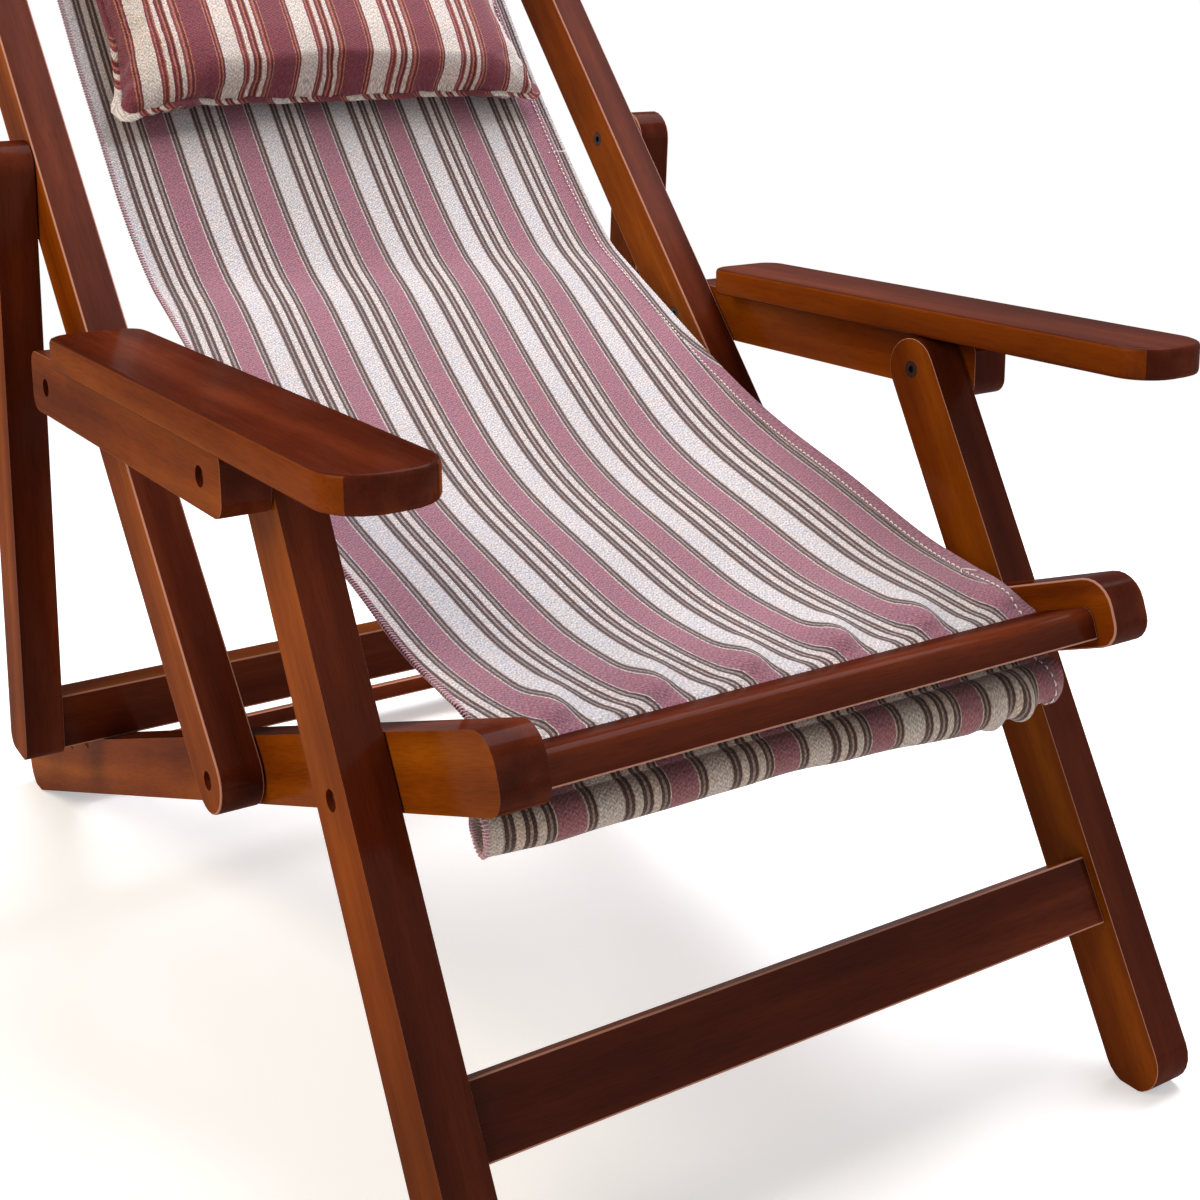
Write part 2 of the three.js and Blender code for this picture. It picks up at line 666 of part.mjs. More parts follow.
// A line moved to its left, with its corners kept sharp
function offsetLine(line, distance) {
  return line.map((point, i) => {
    const before = line[Math.max(i - 1, 0)];
    const after = line[Math.min(i + 1, line.length - 1)];
    const arriving = point.clone().sub(before).normalize();
    const leaving = after.clone().sub(point).normalize();
    if (i === 0) arriving.copy(leaving);
    if (i === line.length - 1) leaving.copy(arriving);
    const along = arriving.clone().add(leaving).normalize();
    const left = new THREE.Vector2(-along.y, along.x);
    return point.clone().addScaledVector(left, distance / along.dot(arriving));
  });
}

// The outside of a pocket, from one side of its neck round the rod to the other
function pocketArc(centre, neck, radius, sweepSign) {
  const toNeck = angleOf(neck.clone().sub(centre));
  const half = THREE.MathUtils.radToDeg(Math.asin(canvasThickness / 2 / radius));
  const steps = Math.round((360 - 2 * half) / pocketArcAngle);
  const points = [];
  for (let i = 0; i <= steps; i += 1) {
    const turn = half + ((360 - 2 * half) * i) / steps;
    points.push(polar(radius, toNeck + sweepSign * turn).add(centre));
  }
  return points;
}

function slingBody(line, frontRod, topRod, start, chord) {
  const upper = offsetLine(line, canvasThickness / 2);
  const lower = offsetLine(line, -canvasThickness / 2);
  const outerRadius = pocketInnerRadius + canvasThickness;
  const frontPocket = pocketArc(frontRod, line[0], outerRadius, 1);
  const topPocket = pocketArc(topRod, line[line.length - 1], outerRadius, 1);
  const topSide = [...upper, ...topPocket.reverse()];
  const underside = [...lower.reverse(), ...frontPocket.reverse()];
  const shape = new THREE.Shape([...topSide, ...underside].reverse());
  [frontRod, topRod].forEach((rod) => {
    shape.holes.push(new THREE.Path(pocketRing(rod)));
  });
  const sheet = new THREE.ExtrudeGeometry(shape, {
    depth: 2 * slingHalfWidth, steps: slingSteps, bevelEnabled: false,
  });
  sheet.translate(0, 0, -slingHalfWidth);
  const place = sheet.attributes.position;
  const chordLength = chord.length();
  const chordUnit = chord.clone().normalize();
  const outward = new THREE.Vector2(-chordUnit.y, chordUnit.x);
  for (let i = 0; i < place.count; i += 1) {
    const point = new THREE.Vector2(place.getX(i), place.getY(i));
    const share = point.clone().sub(start).dot(chordUnit) / chordLength;
    const fade = Math.exp(-(((share - foldCentreShare) / foldSpreadShare) ** 2));
    const across = (place.getZ(i) + slingHalfWidth) / (2 * slingHalfWidth);
    const wave = (1 - Math.cos(radians(360 * foldCount * across))) / 2;
    const rise = foldHeight * fade * wave * Math.min(1, Math.max(0, share / foldCentreShare));
    place.setXY(i, point.x + outward.x * rise, point.y + outward.y * rise);
  }
  return sheet.applyMatrix4(acrossChair);
}

function pocketRing(centre) {
  const points = [];
  const steps = Math.round(360 / pocketArcAngle);
  for (let i = 0; i < steps; i += 1) points.push(polar(pocketInnerRadius, -pocketArcAngle * i).add(centre));
  return points;
}

// Head cushion, in the back frame, lying on the front of the sling
const cushionHalfWidth = 195;
const cushionHeight = 180;
const cushionDrop = 334; // of its lower edge below the top of the back rails
const cushionFrontCrown = 34;
const cushionBackCrown = 9;
const cushionDrawIn = 7; // of each side, half way between its corners
const cushionRuns = 14;
const cushionBottom = backReach - cushionDrop;
const cushionRows = 8;
const strapWidth = 30;
const strapInset = 70; // from each end of the cushion
const strapThickness = 1.6;

// Height of the sling's upper face in the back frame, at a distance up the back
function slingRiseAt(slingLine, y) {
  const next = Math.max(1, slingLine.findIndex((point) => point.x > y));
  const [before, after] = [slingLine[next - 1], slingLine[next]];
  return before.y + ((after.y - before.y) * (y - before.x)) / (after.x - before.x) + canvasThickness / 2;
}

function cushionEdge(across) {
  return cushionBottom + cushionHeight - cushionDrawIn * (1 - across * across);
}

function seamRiseAt(slingLine, y) {
  return slingRiseAt(slingLine, y) + fitGap + cushionBackCrown;
}

function cushionGeometry(slingLine) {
  const positions = [];
  const index = [];
  const middle = cushionBottom + cushionHeight / 2;
  const pointAt = (i, j, face) => {
    const a = (2 * i) / cushionRuns - 1;
    const b = (2 * j) / cushionRows - 1;
    const across = Math.sin((a * Math.PI) / 2);
    const up = Math.sin((b * Math.PI) / 2);
    const x = across * (cushionHalfWidth - cushionDrawIn * (1 - up * up));
    const y = middle + up * (cushionHeight / 2 - cushionDrawIn * (1 - across * across));
    const full = Math.sqrt(Math.max(0, (1 - across ** 4) * (1 - up ** 4)));
    const crown = face > 0 ? cushionFrontCrown : -cushionBackCrown;
    return [x, y, seamRiseAt(slingLine, y) + crown * full];
  };
  [1, -1].forEach((face) => {
    const first = positions.length / 3;
    for (let j = 0; j <= cushionRows; j += 1) {
      for (let i = 0; i <= cushionRuns; i += 1) positions.push(...pointAt(i, j, face));
    }
    for (let j = 0; j < cushionRows; j += 1) {
      for (let i = 0; i < cushionRuns; i += 1) {
        const a = first + j * (cushionRuns + 1) + i;
        const b = a + 1;
        const c = a + cushionRuns + 1;
        const d = c + 1;
        if (face > 0) index.push(a, b, d, a, d, c);
        else index.push(a, d, b, a, c, d);
      }
    }
  });
  const geometry = new THREE.BufferGeometry();
  geometry.setAttribute('position', new THREE.Float32BufferAttribute(positions, 3));
  geometry.setIndex(index);
  return toGeometry(toSolid(geometry));
}

// A strap runs from the cushion's upper edge over the top crossbar and down behind it
function strapGeometry(side, slingLine) {
  const stand = canvasThickness + 2 * fitGap + strapThickness / 2; // clear of the sling below it
  const edge = cushionEdge((cushionHalfWidth - strapInset + strapWidth / 2) / cushionHalfWidth);
  const frontFace = topBarBox[3] + stand;
  const rearFace = topBarBox[2] - stand;
  const roundY = topBarBox[1] - frontBarRoundOver;
  const roundZ = topBarBox[3] - frontBarRoundOver;
  const line = [
    new THREE.Vector2(edge + fitGap, seamRiseAt(slingLine, edge)),
    new THREE.Vector2(topSlingBarBox[0], frontFace),
    ...arc(roundY, roundZ, frontBarRoundOver + stand, 90, 0),
    ...arc(topBarBox[1], topBarBox[2], stand, 0, -90),
    new THREE.Vector2(topBarBox[0] + frontBarDepth / 2, rearFace),
  ];
  const outline = [
    ...offsetLine(line, strapThickness / 2),
    ...offsetLine(line, -strapThickness / 2).reverse(),
  ];
  const middle = side * (cushionHalfWidth - strapInset);
  return plank(outline, middle - strapWidth / 2, strapWidth);
}

function addCushion(slingLine) {
  addMesh(backFrame, 'head_cushion', cushionGeometry(slingLine), cushionCanvas);
  sides.forEach(([label, side]) => {
    addMesh(backFrame, `${label}_cushion_strap`, strapGeometry(side, slingLine), cushionCanvas);
  });
}

addSeatFrame();
addBackFrame();
addPropFrame();
addLegFrame();
addArms();
addPivot('seat_back', innerLayer, seatFrame, seatFrame, { frame: seatFrame, y: 0, z: 0 }, false);
addPivot('seat_leg', innerLayer, seatFrame, seatFrame, { frame: legFrame, y: 0, z: 0 }, false);
addPivot('leg_arm', middleLayer, legFrame, legFrame, { frame: armFrame, y: 0, z: 0 }, false);
addPivot('back_arm', middleLayer, armFrame, backFrame, { frame: armFrame, y: armPivotSpan, z: 0 }, true);
addPivot('back_prop', middleLayer, backFrame, backFrame, { frame: propFrame, y: 0, z: 0 }, false);
addCushion(addSling());

// The origin is on the floor, midway between the front and the back
const extent = new THREE.Box3().setFromObject(chair, true);
chair.position.y = -(extent.min.y + extent.max.y) / 2;

export default chair;
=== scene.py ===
import bpy
import bisect
import bmesh
import json
import math
import random
from mathutils import Matrix, Vector, noise
from mathutils.bvhtree import BVHTree
from mathutils.kdtree import KDTree

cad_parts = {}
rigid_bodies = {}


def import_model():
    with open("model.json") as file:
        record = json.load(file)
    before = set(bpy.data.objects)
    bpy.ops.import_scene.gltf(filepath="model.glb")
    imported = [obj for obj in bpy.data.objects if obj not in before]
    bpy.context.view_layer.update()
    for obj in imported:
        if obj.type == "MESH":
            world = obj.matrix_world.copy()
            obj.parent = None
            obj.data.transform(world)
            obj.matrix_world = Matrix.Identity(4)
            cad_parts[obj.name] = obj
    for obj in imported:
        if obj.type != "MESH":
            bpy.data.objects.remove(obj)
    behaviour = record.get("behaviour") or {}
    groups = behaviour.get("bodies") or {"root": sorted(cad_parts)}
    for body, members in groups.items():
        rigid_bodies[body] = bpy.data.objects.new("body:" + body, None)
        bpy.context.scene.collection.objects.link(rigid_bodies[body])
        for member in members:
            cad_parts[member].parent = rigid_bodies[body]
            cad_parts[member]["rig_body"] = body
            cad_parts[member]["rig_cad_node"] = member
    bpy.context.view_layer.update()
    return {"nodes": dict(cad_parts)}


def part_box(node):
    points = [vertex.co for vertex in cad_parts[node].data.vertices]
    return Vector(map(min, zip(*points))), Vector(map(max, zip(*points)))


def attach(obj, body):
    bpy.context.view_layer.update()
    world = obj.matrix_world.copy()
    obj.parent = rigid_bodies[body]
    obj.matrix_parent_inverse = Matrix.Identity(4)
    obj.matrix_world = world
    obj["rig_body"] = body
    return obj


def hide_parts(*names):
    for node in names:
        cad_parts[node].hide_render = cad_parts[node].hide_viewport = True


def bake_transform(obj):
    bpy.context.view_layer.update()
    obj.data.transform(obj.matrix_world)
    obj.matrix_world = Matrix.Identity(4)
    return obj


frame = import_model()
random.seed(11)
print("frame loaded,", len(frame["nodes"]), "pieces")

# The camera stands in front of the chair, to the sitter's right: metres, degrees, lens in millimetres
cameraFacts = {
    "place": (-0.644153, -1.158268, 0.710164),
    "pitch": 12.515,
    "yaw": 32.838,
    "roll": 0.287,
    "lens": 54.555,
    "shiftY": -0.16667,
    "sensorWidth": 36,
    "nearest": 0.05,
    "farthest": 60,
}


def placeCamera(facts):
    data = bpy.data.cameras.new("camera")
    camera = bpy.data.objects.new("camera", data)
    bpy.context.scene.collection.objects.link(camera)
    camera.location = facts["place"]
    turns = (90 - facts["pitch"], facts["roll"], -facts["yaw"])
    camera.rotation_euler = [math.radians(turn) for turn in turns]
    data.sensor_width = facts["sensorWidth"]
    data.lens = facts["lens"]
    data.shift_y = facts["shiftY"]
    data.clip_start = facts["nearest"]
    data.clip_end = facts["farthest"]
    bpy.context.scene.camera = camera


placeCamera(cameraFacts)


# Everyday handling

def deselectAll():
    if bpy.context.object and bpy.context.object.mode != "OBJECT":
        bpy.ops.object.mode_set(mode="OBJECT")
    bpy.ops.object.select_all(action="DESELECT")


def makeActive(piece):
    deselectAll()
    piece.select_set(True)
    bpy.context.view_layer.objects.active = piece


def applyModifier(piece, kind, **settings):
    makeActive(piece)
    modifier = piece.modifiers.new(kind.lower(), kind)
    for key, value in settings.items():
        setattr(modifier, key, value)
    bpy.ops.object.modifier_apply(modifier=modifier.name)


def editWhole(piece):
    makeActive(piece)
    bpy.ops.object.mode_set(mode="EDIT")
    bpy.ops.mesh.select_all(action="SELECT")


def faceOutwards(piece):
    editWhole(piece)
    bpy.ops.mesh.normals_make_consistent(inside=False)
    bpy.ops.object.mode_set(mode="OBJECT")


def copyNode(node, name):
    piece = frame["nodes"][node].copy()
    piece.data = frame["nodes"][node].data.copy()
    piece.name = name
    piece.parent = None
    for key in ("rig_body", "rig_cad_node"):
        if key in piece:
            del piece[key]
    bpy.context.scene.collection.objects.link(piece)
    piece.matrix_world = Matrix.Identity(4)
    piece.data.materials.clear()
    editWhole(piece)
    bpy.ops.mesh.remove_doubles(threshold=0.00001)
    bpy.ops.object.mode_set(mode="OBJECT")
    return piece


def newPiece(name, points, faces):
    mesh = bpy.data.meshes.new(name)
    mesh.from_pydata([tuple(p) for p in points], [], faces)
    piece = bpy.data.objects.new(name, mesh)
    bpy.context.scene.collection.objects.link(piece)
    return piece


def smooth(piece, degrees=40):
    makeActive(piece)
    bpy.ops.object.shade_smooth_by_angle(angle=math.radians(degrees))


def setMaterials(piece, *materials):
    piece.data.materials.clear()
    for material in materials:
        piece.data.materials.append(material)


def markPlaces(piece, name, places):
    layer = piece.data.attributes.new(name, "FLOAT_VECTOR", "POINT")
    layer.data.foreach_set("vector", [value for place in places for value in place])


def ease(value):
    value = min(max(value, 0.0), 1.0)
    return value * value * (3 - 2 * value)


# Materials

def toLinear(code):
    # the sRGB curve, from a hex value to linear light
    values = [int(code[i:i + 2], 16) / 255 for i in (1, 3, 5)]
    return tuple(v / 12.92 if v <= 0.04045 else ((v + 0.055) / 1.055) ** 2.4 for v in values) + (1.0,)


def addNode(tree, kind, settings=None, links=None):
    node = tree.nodes.new(kind)
    for key, value in (settings or {}).items():
        if isinstance(key, int) or key in node.inputs:
            node.inputs[key].default_value = value
        else:
            setattr(node, key, value)
    for key, source in (links or {}).items():
        tree.links.new(source, node.inputs[key])
    return node


def startMaterial(name):
    material = bpy.data.materials.new(name)
    material.use_nodes = True
    tree = material.node_tree
    tree.nodes.clear()
    shader = addNode(tree, "ShaderNodeBsdfPrincipled")
    addNode(tree, "ShaderNodeOutputMaterial", links={"Surface": shader.outputs[0]})
    return material, tree, shader


def fillRamp(ramp, stops, interpolation="LINEAR"):
    band = ramp.color_ramp
    band.interpolation = interpolation
    while len(band.elements) > 1:
        band.elements.remove(band.elements[-1])
    for i, (place, code) in enumerate(stops):
        element = band.elements[0] if i == 0 else band.elements.new(place)
        element.position = place
        element.color = toLinear(code)


woodFacts = {
    "broad": ["#642804", "#7d3906", "#974d0a"],   # stain on the broad faces: deep, middle and light
    "edge": ["#3c1408", "#4e1d0c", "#662c16"],    # painted shade: the narrow edges, turned away from the lamps, are drawn darker and redder than the broad faces
    "worn": "#d39a84",       # stain worn thin along the arrises, with a painted highlight on them
    "wornAndHighlightShare": 0.62,
    "stops": (0.30, 0.50, 0.72),   # where in the figure the stain is deep, middle and light
    "stretch": 0.07,         # the figure is drawn out along the timber
    "figureWidth": 0.030,    # metres between the broad growth bands
    "poreWidth": 0.0010,     # real pores are about 0.3 mm, drawn coarser to show
    "poreLength": 0.016,
    "blotchSize": 0.13,
    "brushWidth": 0.012,     # low waves that the brush left in the varnish
}


def varnishedMahogany(name, worn=False):
    # Mahogany-stained hardwood under brushed varnish: orange-brown faces, edges drawn dark red as painted
    # shade, soft reflections
    facts = woodFacts
    material, tree, shader = startMaterial(name)
    grain = addNode(tree, "ShaderNodeAttribute", {"attribute_name": "grainPlace"})
    edge = addNode(tree, "ShaderNodeAttribute", {"attribute_name": "edgeFace"})
    slow = addNode(tree, "ShaderNodeMapping", {"Scale": (facts["stretch"], 1, 1)},
                   {"Vector": grain.outputs["Vector"]})
    warp = addNode(tree, "ShaderNodeTexNoise", {"Scale": 1 / facts["figureWidth"], "Detail": 3.0},
                   {"Vector": slow.outputs[0]})
    thin = addNode(tree, "ShaderNodeMapping", {"Scale": (facts["poreWidth"] / facts["poreLength"], 1, 1)},
                   {"Vector": grain.outputs["Vector"]})
    pores = addNode(tree, "ShaderNodeTexNoise", {"Scale": 1 / facts["poreWidth"], "Detail": 2.0},
                    {"Vector": thin.outputs[0]})
    blotch = addNode(tree, "ShaderNodeTexNoise", {"Scale": 1 / facts["blotchSize"], "Detail": 2.0},
                     {"Vector": grain.outputs["Vector"]})
    broad = addNode(tree, "ShaderNodeValToRGB", links={0: warp.outputs["Fac"]})
    fillRamp(broad, list(zip(facts["stops"], facts["broad"])))
    narrow = addNode(tree, "ShaderNodeValToRGB", links={0: warp.outputs["Fac"]})
    fillRamp(narrow, list(zip(facts["stops"], facts["edge"])))
    # painted shade: the edge faces take the darker, redder ramp, the broad faces the stain's own
    stainAndShade = addNode(tree, "ShaderNodeMix", {"data_type": "RGBA"},
                    {"Factor": edge.outputs["Fac"], 6: broad.outputs["Color"], 7: narrow.outputs["Color"]})
    poreShade = addNode(tree, "ShaderNodeMapRange", {1: 0.32, 2: 0.55, 3: 0.80, 4: 1.0},
                        {0: pores.outputs["Fac"]})
    blotchShade = addNode(tree, "ShaderNodeMapRange", {1: 0.3, 2: 0.7, 3: 0.74, 4: 1.12},
                          {0: blotch.outputs["Fac"]})
    both = addNode(tree, "ShaderNodeMath", {"operation": "MULTIPLY"},
                   {0: poreShade.outputs[0], 1: blotchShade.outputs[0]})
    shade = addNode(tree, "ShaderNodeVectorMath", {"operation": "SCALE"},
                    {0: stainAndShade.outputs[2], "Scale": both.outputs[0]})
    colour = shade.outputs[0]
    # the arrises: stain worn thin, and a painted highlight
    if worn:
        thinnedAndHighlit = addNode(tree, "ShaderNodeMix",
                          {"data_type": "RGBA", "Factor": facts["wornAndHighlightShare"], 7: toLinear(facts["worn"])},
                          {6: shade.outputs[0]})
        colour = thinnedAndHighlit.outputs[2]
    tree.links.new(colour, shader.inputs["Base Color"])
    brush = addNode(tree, "ShaderNodeTexNoise", {"Scale": 1 / facts["brushWidth"], "Detail": 1.0},
                    {"Vector": slow.outputs[0]})
    rough = addNode(tree, "ShaderNodeMapRange", {1: 0.3, 2: 0.7, 3: 0.34, 4: 0.5}, {0: blotch.outputs["Fac"]})
    tree.links.new(rough.outputs[0], shader.inputs["Roughness"])
    low = addNode(tree, "ShaderNodeBump", {"Strength": 0.3, "Distance": 0.0005},
                  {"Height": brush.outputs["Fac"]})
    bump = addNode(tree, "ShaderNodeBump", {"Strength": 0.12, "Distance": 0.0002},
                   {"Height": pores.outputs["Fac"], "Normal": low.outputs[0]})
    tree.links.new(bump.outputs[0], shader.inputs["Normal"])
    tree.links.new(low.outputs[0], shader.inputs["Coat Normal"])
    shader.inputs["IOR"].default_value = 1.45
    shader.inputs["Specular IOR Level"].default_value = 0.0
    shader.inputs["Coat Weight"].default_value = 0.07
    shader.inputs["Coat Roughness"].default_value = 0.15
    shader.inputs["Coat IOR"].default_value = 1.5
    return material


# One repeat of each cloth across its width: width share and colour of each thread band
slingStripes = [
    (0.235, "#9e6b79"), (0.012, "#c9bebb"), (0.026, "#5b4644"), (0.020, "#978a86"),
    (0.026, "#4d3937"), (0.010, "#b8a69f"),
    (0.205, "#d3cfcf"), (0.010, "#b0a09a"), (0.030, "#513d3b"), (0.018, "#918480"),
    (0.030, "#51403e"), (0.008, "#bbaca6"),
    (0.062, "#d4ccc8"), (0.030, "#53413f"), (0.022, "#a4938d"), (0.030, "#4c3836"), (0.008, "#b9a69e"),
    (0.062, "#d4ccc8"), (0.026, "#584442"), (0.020, "#9a8c87"), (0.026, "#4e3b39"), (0.012, "#c9bebb"),
]
cushionStripes = [
    (0.250, "#83404b"), (0.016, "#b5735c"), (0.020, "#6a2730"), (0.016, "#b5735c"), (0.022, "#7c333d"),
    (0.200, "#e4d9d0"), (0.020, "#8a4048"), (0.016, "#b5735c"), (0.030, "#7a303a"), (0.014, "#b5735c"),
    (0.050, "#e2d6cc"), (0.030, "#7a303a"), (0.022, "#b5735c"), (0.026, "#5f222b"), (0.012, "#b5735c"),
    (0.046, "#e2d6cc"), (0.030, "#8a4048"), (0.022, "#b5735c"), (0.030, "#6a2730"), (0.014, "#b5735c"),
]
weaveFacts = {
    "sling": {
        "repeat": 0.0682,    # width of one repeat of the stripes
        "first": 0.0298,     # where in the repeat the cloth's edge falls
        "yellowedReach": 0.105,     # how far from the cut end the cloth is drawn yellower and darker
    },
    "cushion": {
        "repeat": 0.0660,
        "first": 0.0630,
        "yellowedReach": 0.01,      # ends below the cushion, so that none of it is drawn yellower
    },
}
canvasFacts = {
    "zigzag": 0.0044,        # width of a rise and fall of the herringbone
    "line": 0.0026,          # from rib to rib, drawn coarser than the real ones to show
    "thread": 0.0011,        # drawn about twice as thick as the real thread, to show
    "depth": 0.0004,
    "bump": 0.32,
    "wobble": 1 / 260,       # a stripe's edge strays over this length
    "stray": 0.0004,
    "dyeLot": 1 / 130,       # the yarn's tint changes over this length
    "wear": 1 / 9,           # size of the paler and darker patches
    "yellow": (0.94, 0.83, 0.69),
    "fadeShare": 0.85,       # of the yellowed length, after which it fades out
}


def stripedCanvas(name, stripes, facts):
    # Yarn-dyed cotton canvas in a herringbone weave: matt, with zigzag ribs and flecked coloured bands
    canvas = canvasFacts
    material, tree, shader = startMaterial(name)
    place = addNode(tree, "ShaderNodeAttribute", {"attribute_name": "place"})
    split = addNode(tree, "ShaderNodeSeparateXYZ", links={0: place.outputs["Vector"]})
    wobble = addNode(tree, "ShaderNodeTexNoise", {"Scale": 1 / canvas["wobble"], "Detail": 2.0},
                     {"Vector": place.outputs["Vector"]})
    shift = addNode(tree, "ShaderNodeMapRange", {3: -canvas["stray"], 4: canvas["stray"]},
                    {0: wobble.outputs["Fac"]})
    across = addNode(tree, "ShaderNodeMath", {"operation": "ADD"}, {0: split.outputs[0], 1: shift.outputs[0]})
    moved = addNode(tree, "ShaderNodeMath", {"operation": "ADD", 1: facts["first"]}, {0: across.outputs[0]})
    turns = addNode(tree, "ShaderNodeMath", {"operation": "DIVIDE", 1: facts["repeat"]},
                    {0: moved.outputs[0]})
    share = addNode(tree, "ShaderNodeMath", {"operation": "FRACT"}, {0: turns.outputs[0]})
    bands = addNode(tree, "ShaderNodeValToRGB", links={0: share.outputs[0]})
    total = sum(width for width, code in stripes)
    stops = []
    reach = 0.0
    for width, code in stripes:
        stops.append((reach / total, code))
        reach += width
    fillRamp(bands, stops, "CONSTANT")
    # herringbone: the ribs climb and fall across the cloth
    climb = addNode(tree, "ShaderNodeMath", {"operation": "PINGPONG", 1: canvas["zigzag"] / 2},
                    {0: split.outputs[0]})
    rib = addNode(tree, "ShaderNodeMath", {"operation": "ADD"}, {0: split.outputs[1], 1: climb.outputs[0]})
    ribTurn = addNode(tree, "ShaderNodeMath", {"operation": "MULTIPLY", 1: 2 * math.pi / canvas["line"]},
                      {0: rib.outputs[0]})
    ribWave = addNode(tree, "ShaderNodeMath", {"operation": "SINE"}, {0: ribTurn.outputs[0]})
    fleckPlace = addNode(tree, "ShaderNodeMapping", {"Scale": (1.0, 0.5, 1.0)},
                         {"Vector": place.outputs["Vector"]})
    fleck = addNode(tree, "ShaderNodeTexNoise", {"Scale": 1 / canvas["thread"], "Detail": 2.0},
                    {"Vector": fleckPlace.outputs[0]})
    # painted shade: the colour is darker in the grooves between the ribs, where the bump is lowest
    ribShade = addNode(tree, "ShaderNodeMapRange", {1: -1.0, 2: 1.0, 3: 0.80, 4: 1.08},
                       {0: ribWave.outputs[0]})
    fleckShade = addNode(tree, "ShaderNodeMapRange", {1: 0.34, 2: 0.66, 3: 0.60, 4: 1.24},
                         {0: fleck.outputs["Fac"]})
    worn = addNode(tree, "ShaderNodeTexNoise", {"Scale": 1 / canvas["wear"], "Detail": 3.0},
                   {"Vector": place.outputs["Vector"]})
    wornShade = addNode(tree, "ShaderNodeMapRange", {1: 0.3, 2: 0.7, 3: 0.94, 4: 1.04},
                        {0: worn.outputs["Fac"]})
    woven = addNode(tree, "ShaderNodeMath", {"operation": "MULTIPLY"},
                    {0: ribShade.outputs[0], 1: fleckShade.outputs[0]})
    shaded = addNode(tree, "ShaderNodeMath", {"operation": "MULTIPLY"},
                     {0: woven.outputs[0], 1: wornShade.outputs[0]})
    # each dye lot of the yarn differs a little, from redder to bluer
    lots = addNode(tree, "ShaderNodeTexNoise", {"Scale": 1 / canvas["dyeLot"], "Detail": 3.0},
                   {"Vector": fleckPlace.outputs[0]})
    dyes = addNode(tree, "ShaderNodeValToRGB", links={0: lots.outputs["Fac"]})
    fillRamp(dyes, [(0.36, "#faf3f2"), (0.50, "#f4f4f4"), (0.64, "#f0f1f6")])
    dyed = addNode(tree, "ShaderNodeVectorMath", {"operation": "MULTIPLY"},
                   {0: bands.outputs["Color"], 1: dyes.outputs["Color"]})
    colour = addNode(tree, "ShaderNodeVectorMath", {"operation": "SCALE"},
                     {0: dyed.outputs[0], "Scale": shaded.outputs[0]})
    # the cloth near its cut end, round the front rod and under the front bar, is drawn yellower and darker
    untintedShare = addNode(tree, "ShaderNodeMapRange",
                    {1: facts["yellowedReach"] * canvas["fadeShare"], 2: facts["yellowedReach"]},
                    {0: split.outputs[1]})
    yellowed = addNode(tree, "ShaderNodeVectorMath", {"operation": "MULTIPLY", 1: canvas["yellow"]},
                       {0: colour.outputs[0]})
    yellowedEnd = addNode(tree, "ShaderNodeMix", {"data_type": "RGBA"},
                   {"Factor": untintedShare.outputs[0], 6: yellowed.outputs[0], 7: colour.outputs[0]})
    tree.links.new(yellowedEnd.outputs[2], shader.inputs["Base Color"])
    height = addNode(tree, "ShaderNodeMath", {"operation": "ADD"},
                     {0: ribWave.outputs[0], 1: fleck.outputs["Fac"]})
    bump = addNode(tree, "ShaderNodeBump", {"Strength": canvas["bump"], "Distance": canvas["depth"]},
                   {"Height": height.outputs[0]})
    tree.links.new(bump.outputs[0], shader.inputs["Normal"])
    shader.inputs["Roughness"].default_value = 0.92
    shader.inputs["Sheen Weight"].default_value = 0.25
    shader.inputs["Sheen Roughness"].default_value = 0.5
    shader.inputs["Specular IOR Level"].default_value = 0.25
    return material


fineFacts = {
    "twist": 1 / 1400,       # of the thread
    "beechFleck": 1 / 900,
    "beechStretch": 0.08,    # the flecks are drawn out along the rod
}


def sewingThread(name, code):
    # Spun cotton thread: matt, with a fine twist that shows as light and dark flecks
    material, tree, shader = startMaterial(name)
    place = addNode(tree, "ShaderNodeTexCoord")
    twist = addNode(tree, "ShaderNodeTexNoise", {"Scale": 1 / fineFacts["twist"], "Detail": 2.0},
                    {"Vector": place.outputs["Object"]})
    tone = addNode(tree, "ShaderNodeMapRange", {1: 0.3, 2: 0.7, 3: 0.78, 4: 1.1}, {0: twist.outputs["Fac"]})
    colour = addNode(tree, "ShaderNodeVectorMath", {"operation": "SCALE", 0: toLinear(code)[:3]},
                     {"Scale": tone.outputs[0]})
    tree.links.new(colour.outputs[0], shader.inputs["Base Color"])
    bump = addNode(tree, "ShaderNodeBump", {"Strength": 0.4, "Distance": 0.0002},
                   {"Height": twist.outputs["Fac"]})
    tree.links.new(bump.outputs[0], shader.inputs["Normal"])
    shader.inputs["Roughness"].default_value = 0.85
    shader.inputs["Sheen Weight"].default_value = 0.3
    return material


def metal(name, code, roughness, grit):
    # Turned or pressed steel with a thin plating: a dull shine with small pits
    material, tree, shader = startMaterial(name)
    place = addNode(tree, "ShaderNodeTexCoord")
    speck = addNode(tree, "ShaderNodeTexNoise", {"Scale": 1 / grit, "Detail": 3.0},
                    {"Vector": place.outputs["Object"]})
    tone = addNode(tree, "ShaderNodeMapRange", {1: 0.3, 2: 0.7, 3: 0.75, 4: 1.1}, {0: speck.outputs["Fac"]})
    colour = addNode(tree, "ShaderNodeVectorMath", {"operation": "SCALE", 0: toLinear(code)[:3]},
                     {"Scale": tone.outputs[0]})
    tree.links.new(colour.outputs[0], shader.inputs["Base Color"])
    rough = addNode(tree, "ShaderNodeMapRange", {1: 0.3, 2: 0.7, 3: roughness * 0.8, 4: roughness * 1.3},
                    {0: speck.outputs["Fac"]})
    tree.links.new(rough.outputs[0], shader.inputs["Roughness"])
    bump = addNode(tree, "ShaderNodeBump", {"Strength": 0.3, "Distance": 0.0001},
                   {"Height": speck.outputs["Fac"]})
    tree.links.new(bump.outputs[0], shader.inputs["Normal"])
    shader.inputs["Metallic"].default_value = 1.0
    return material


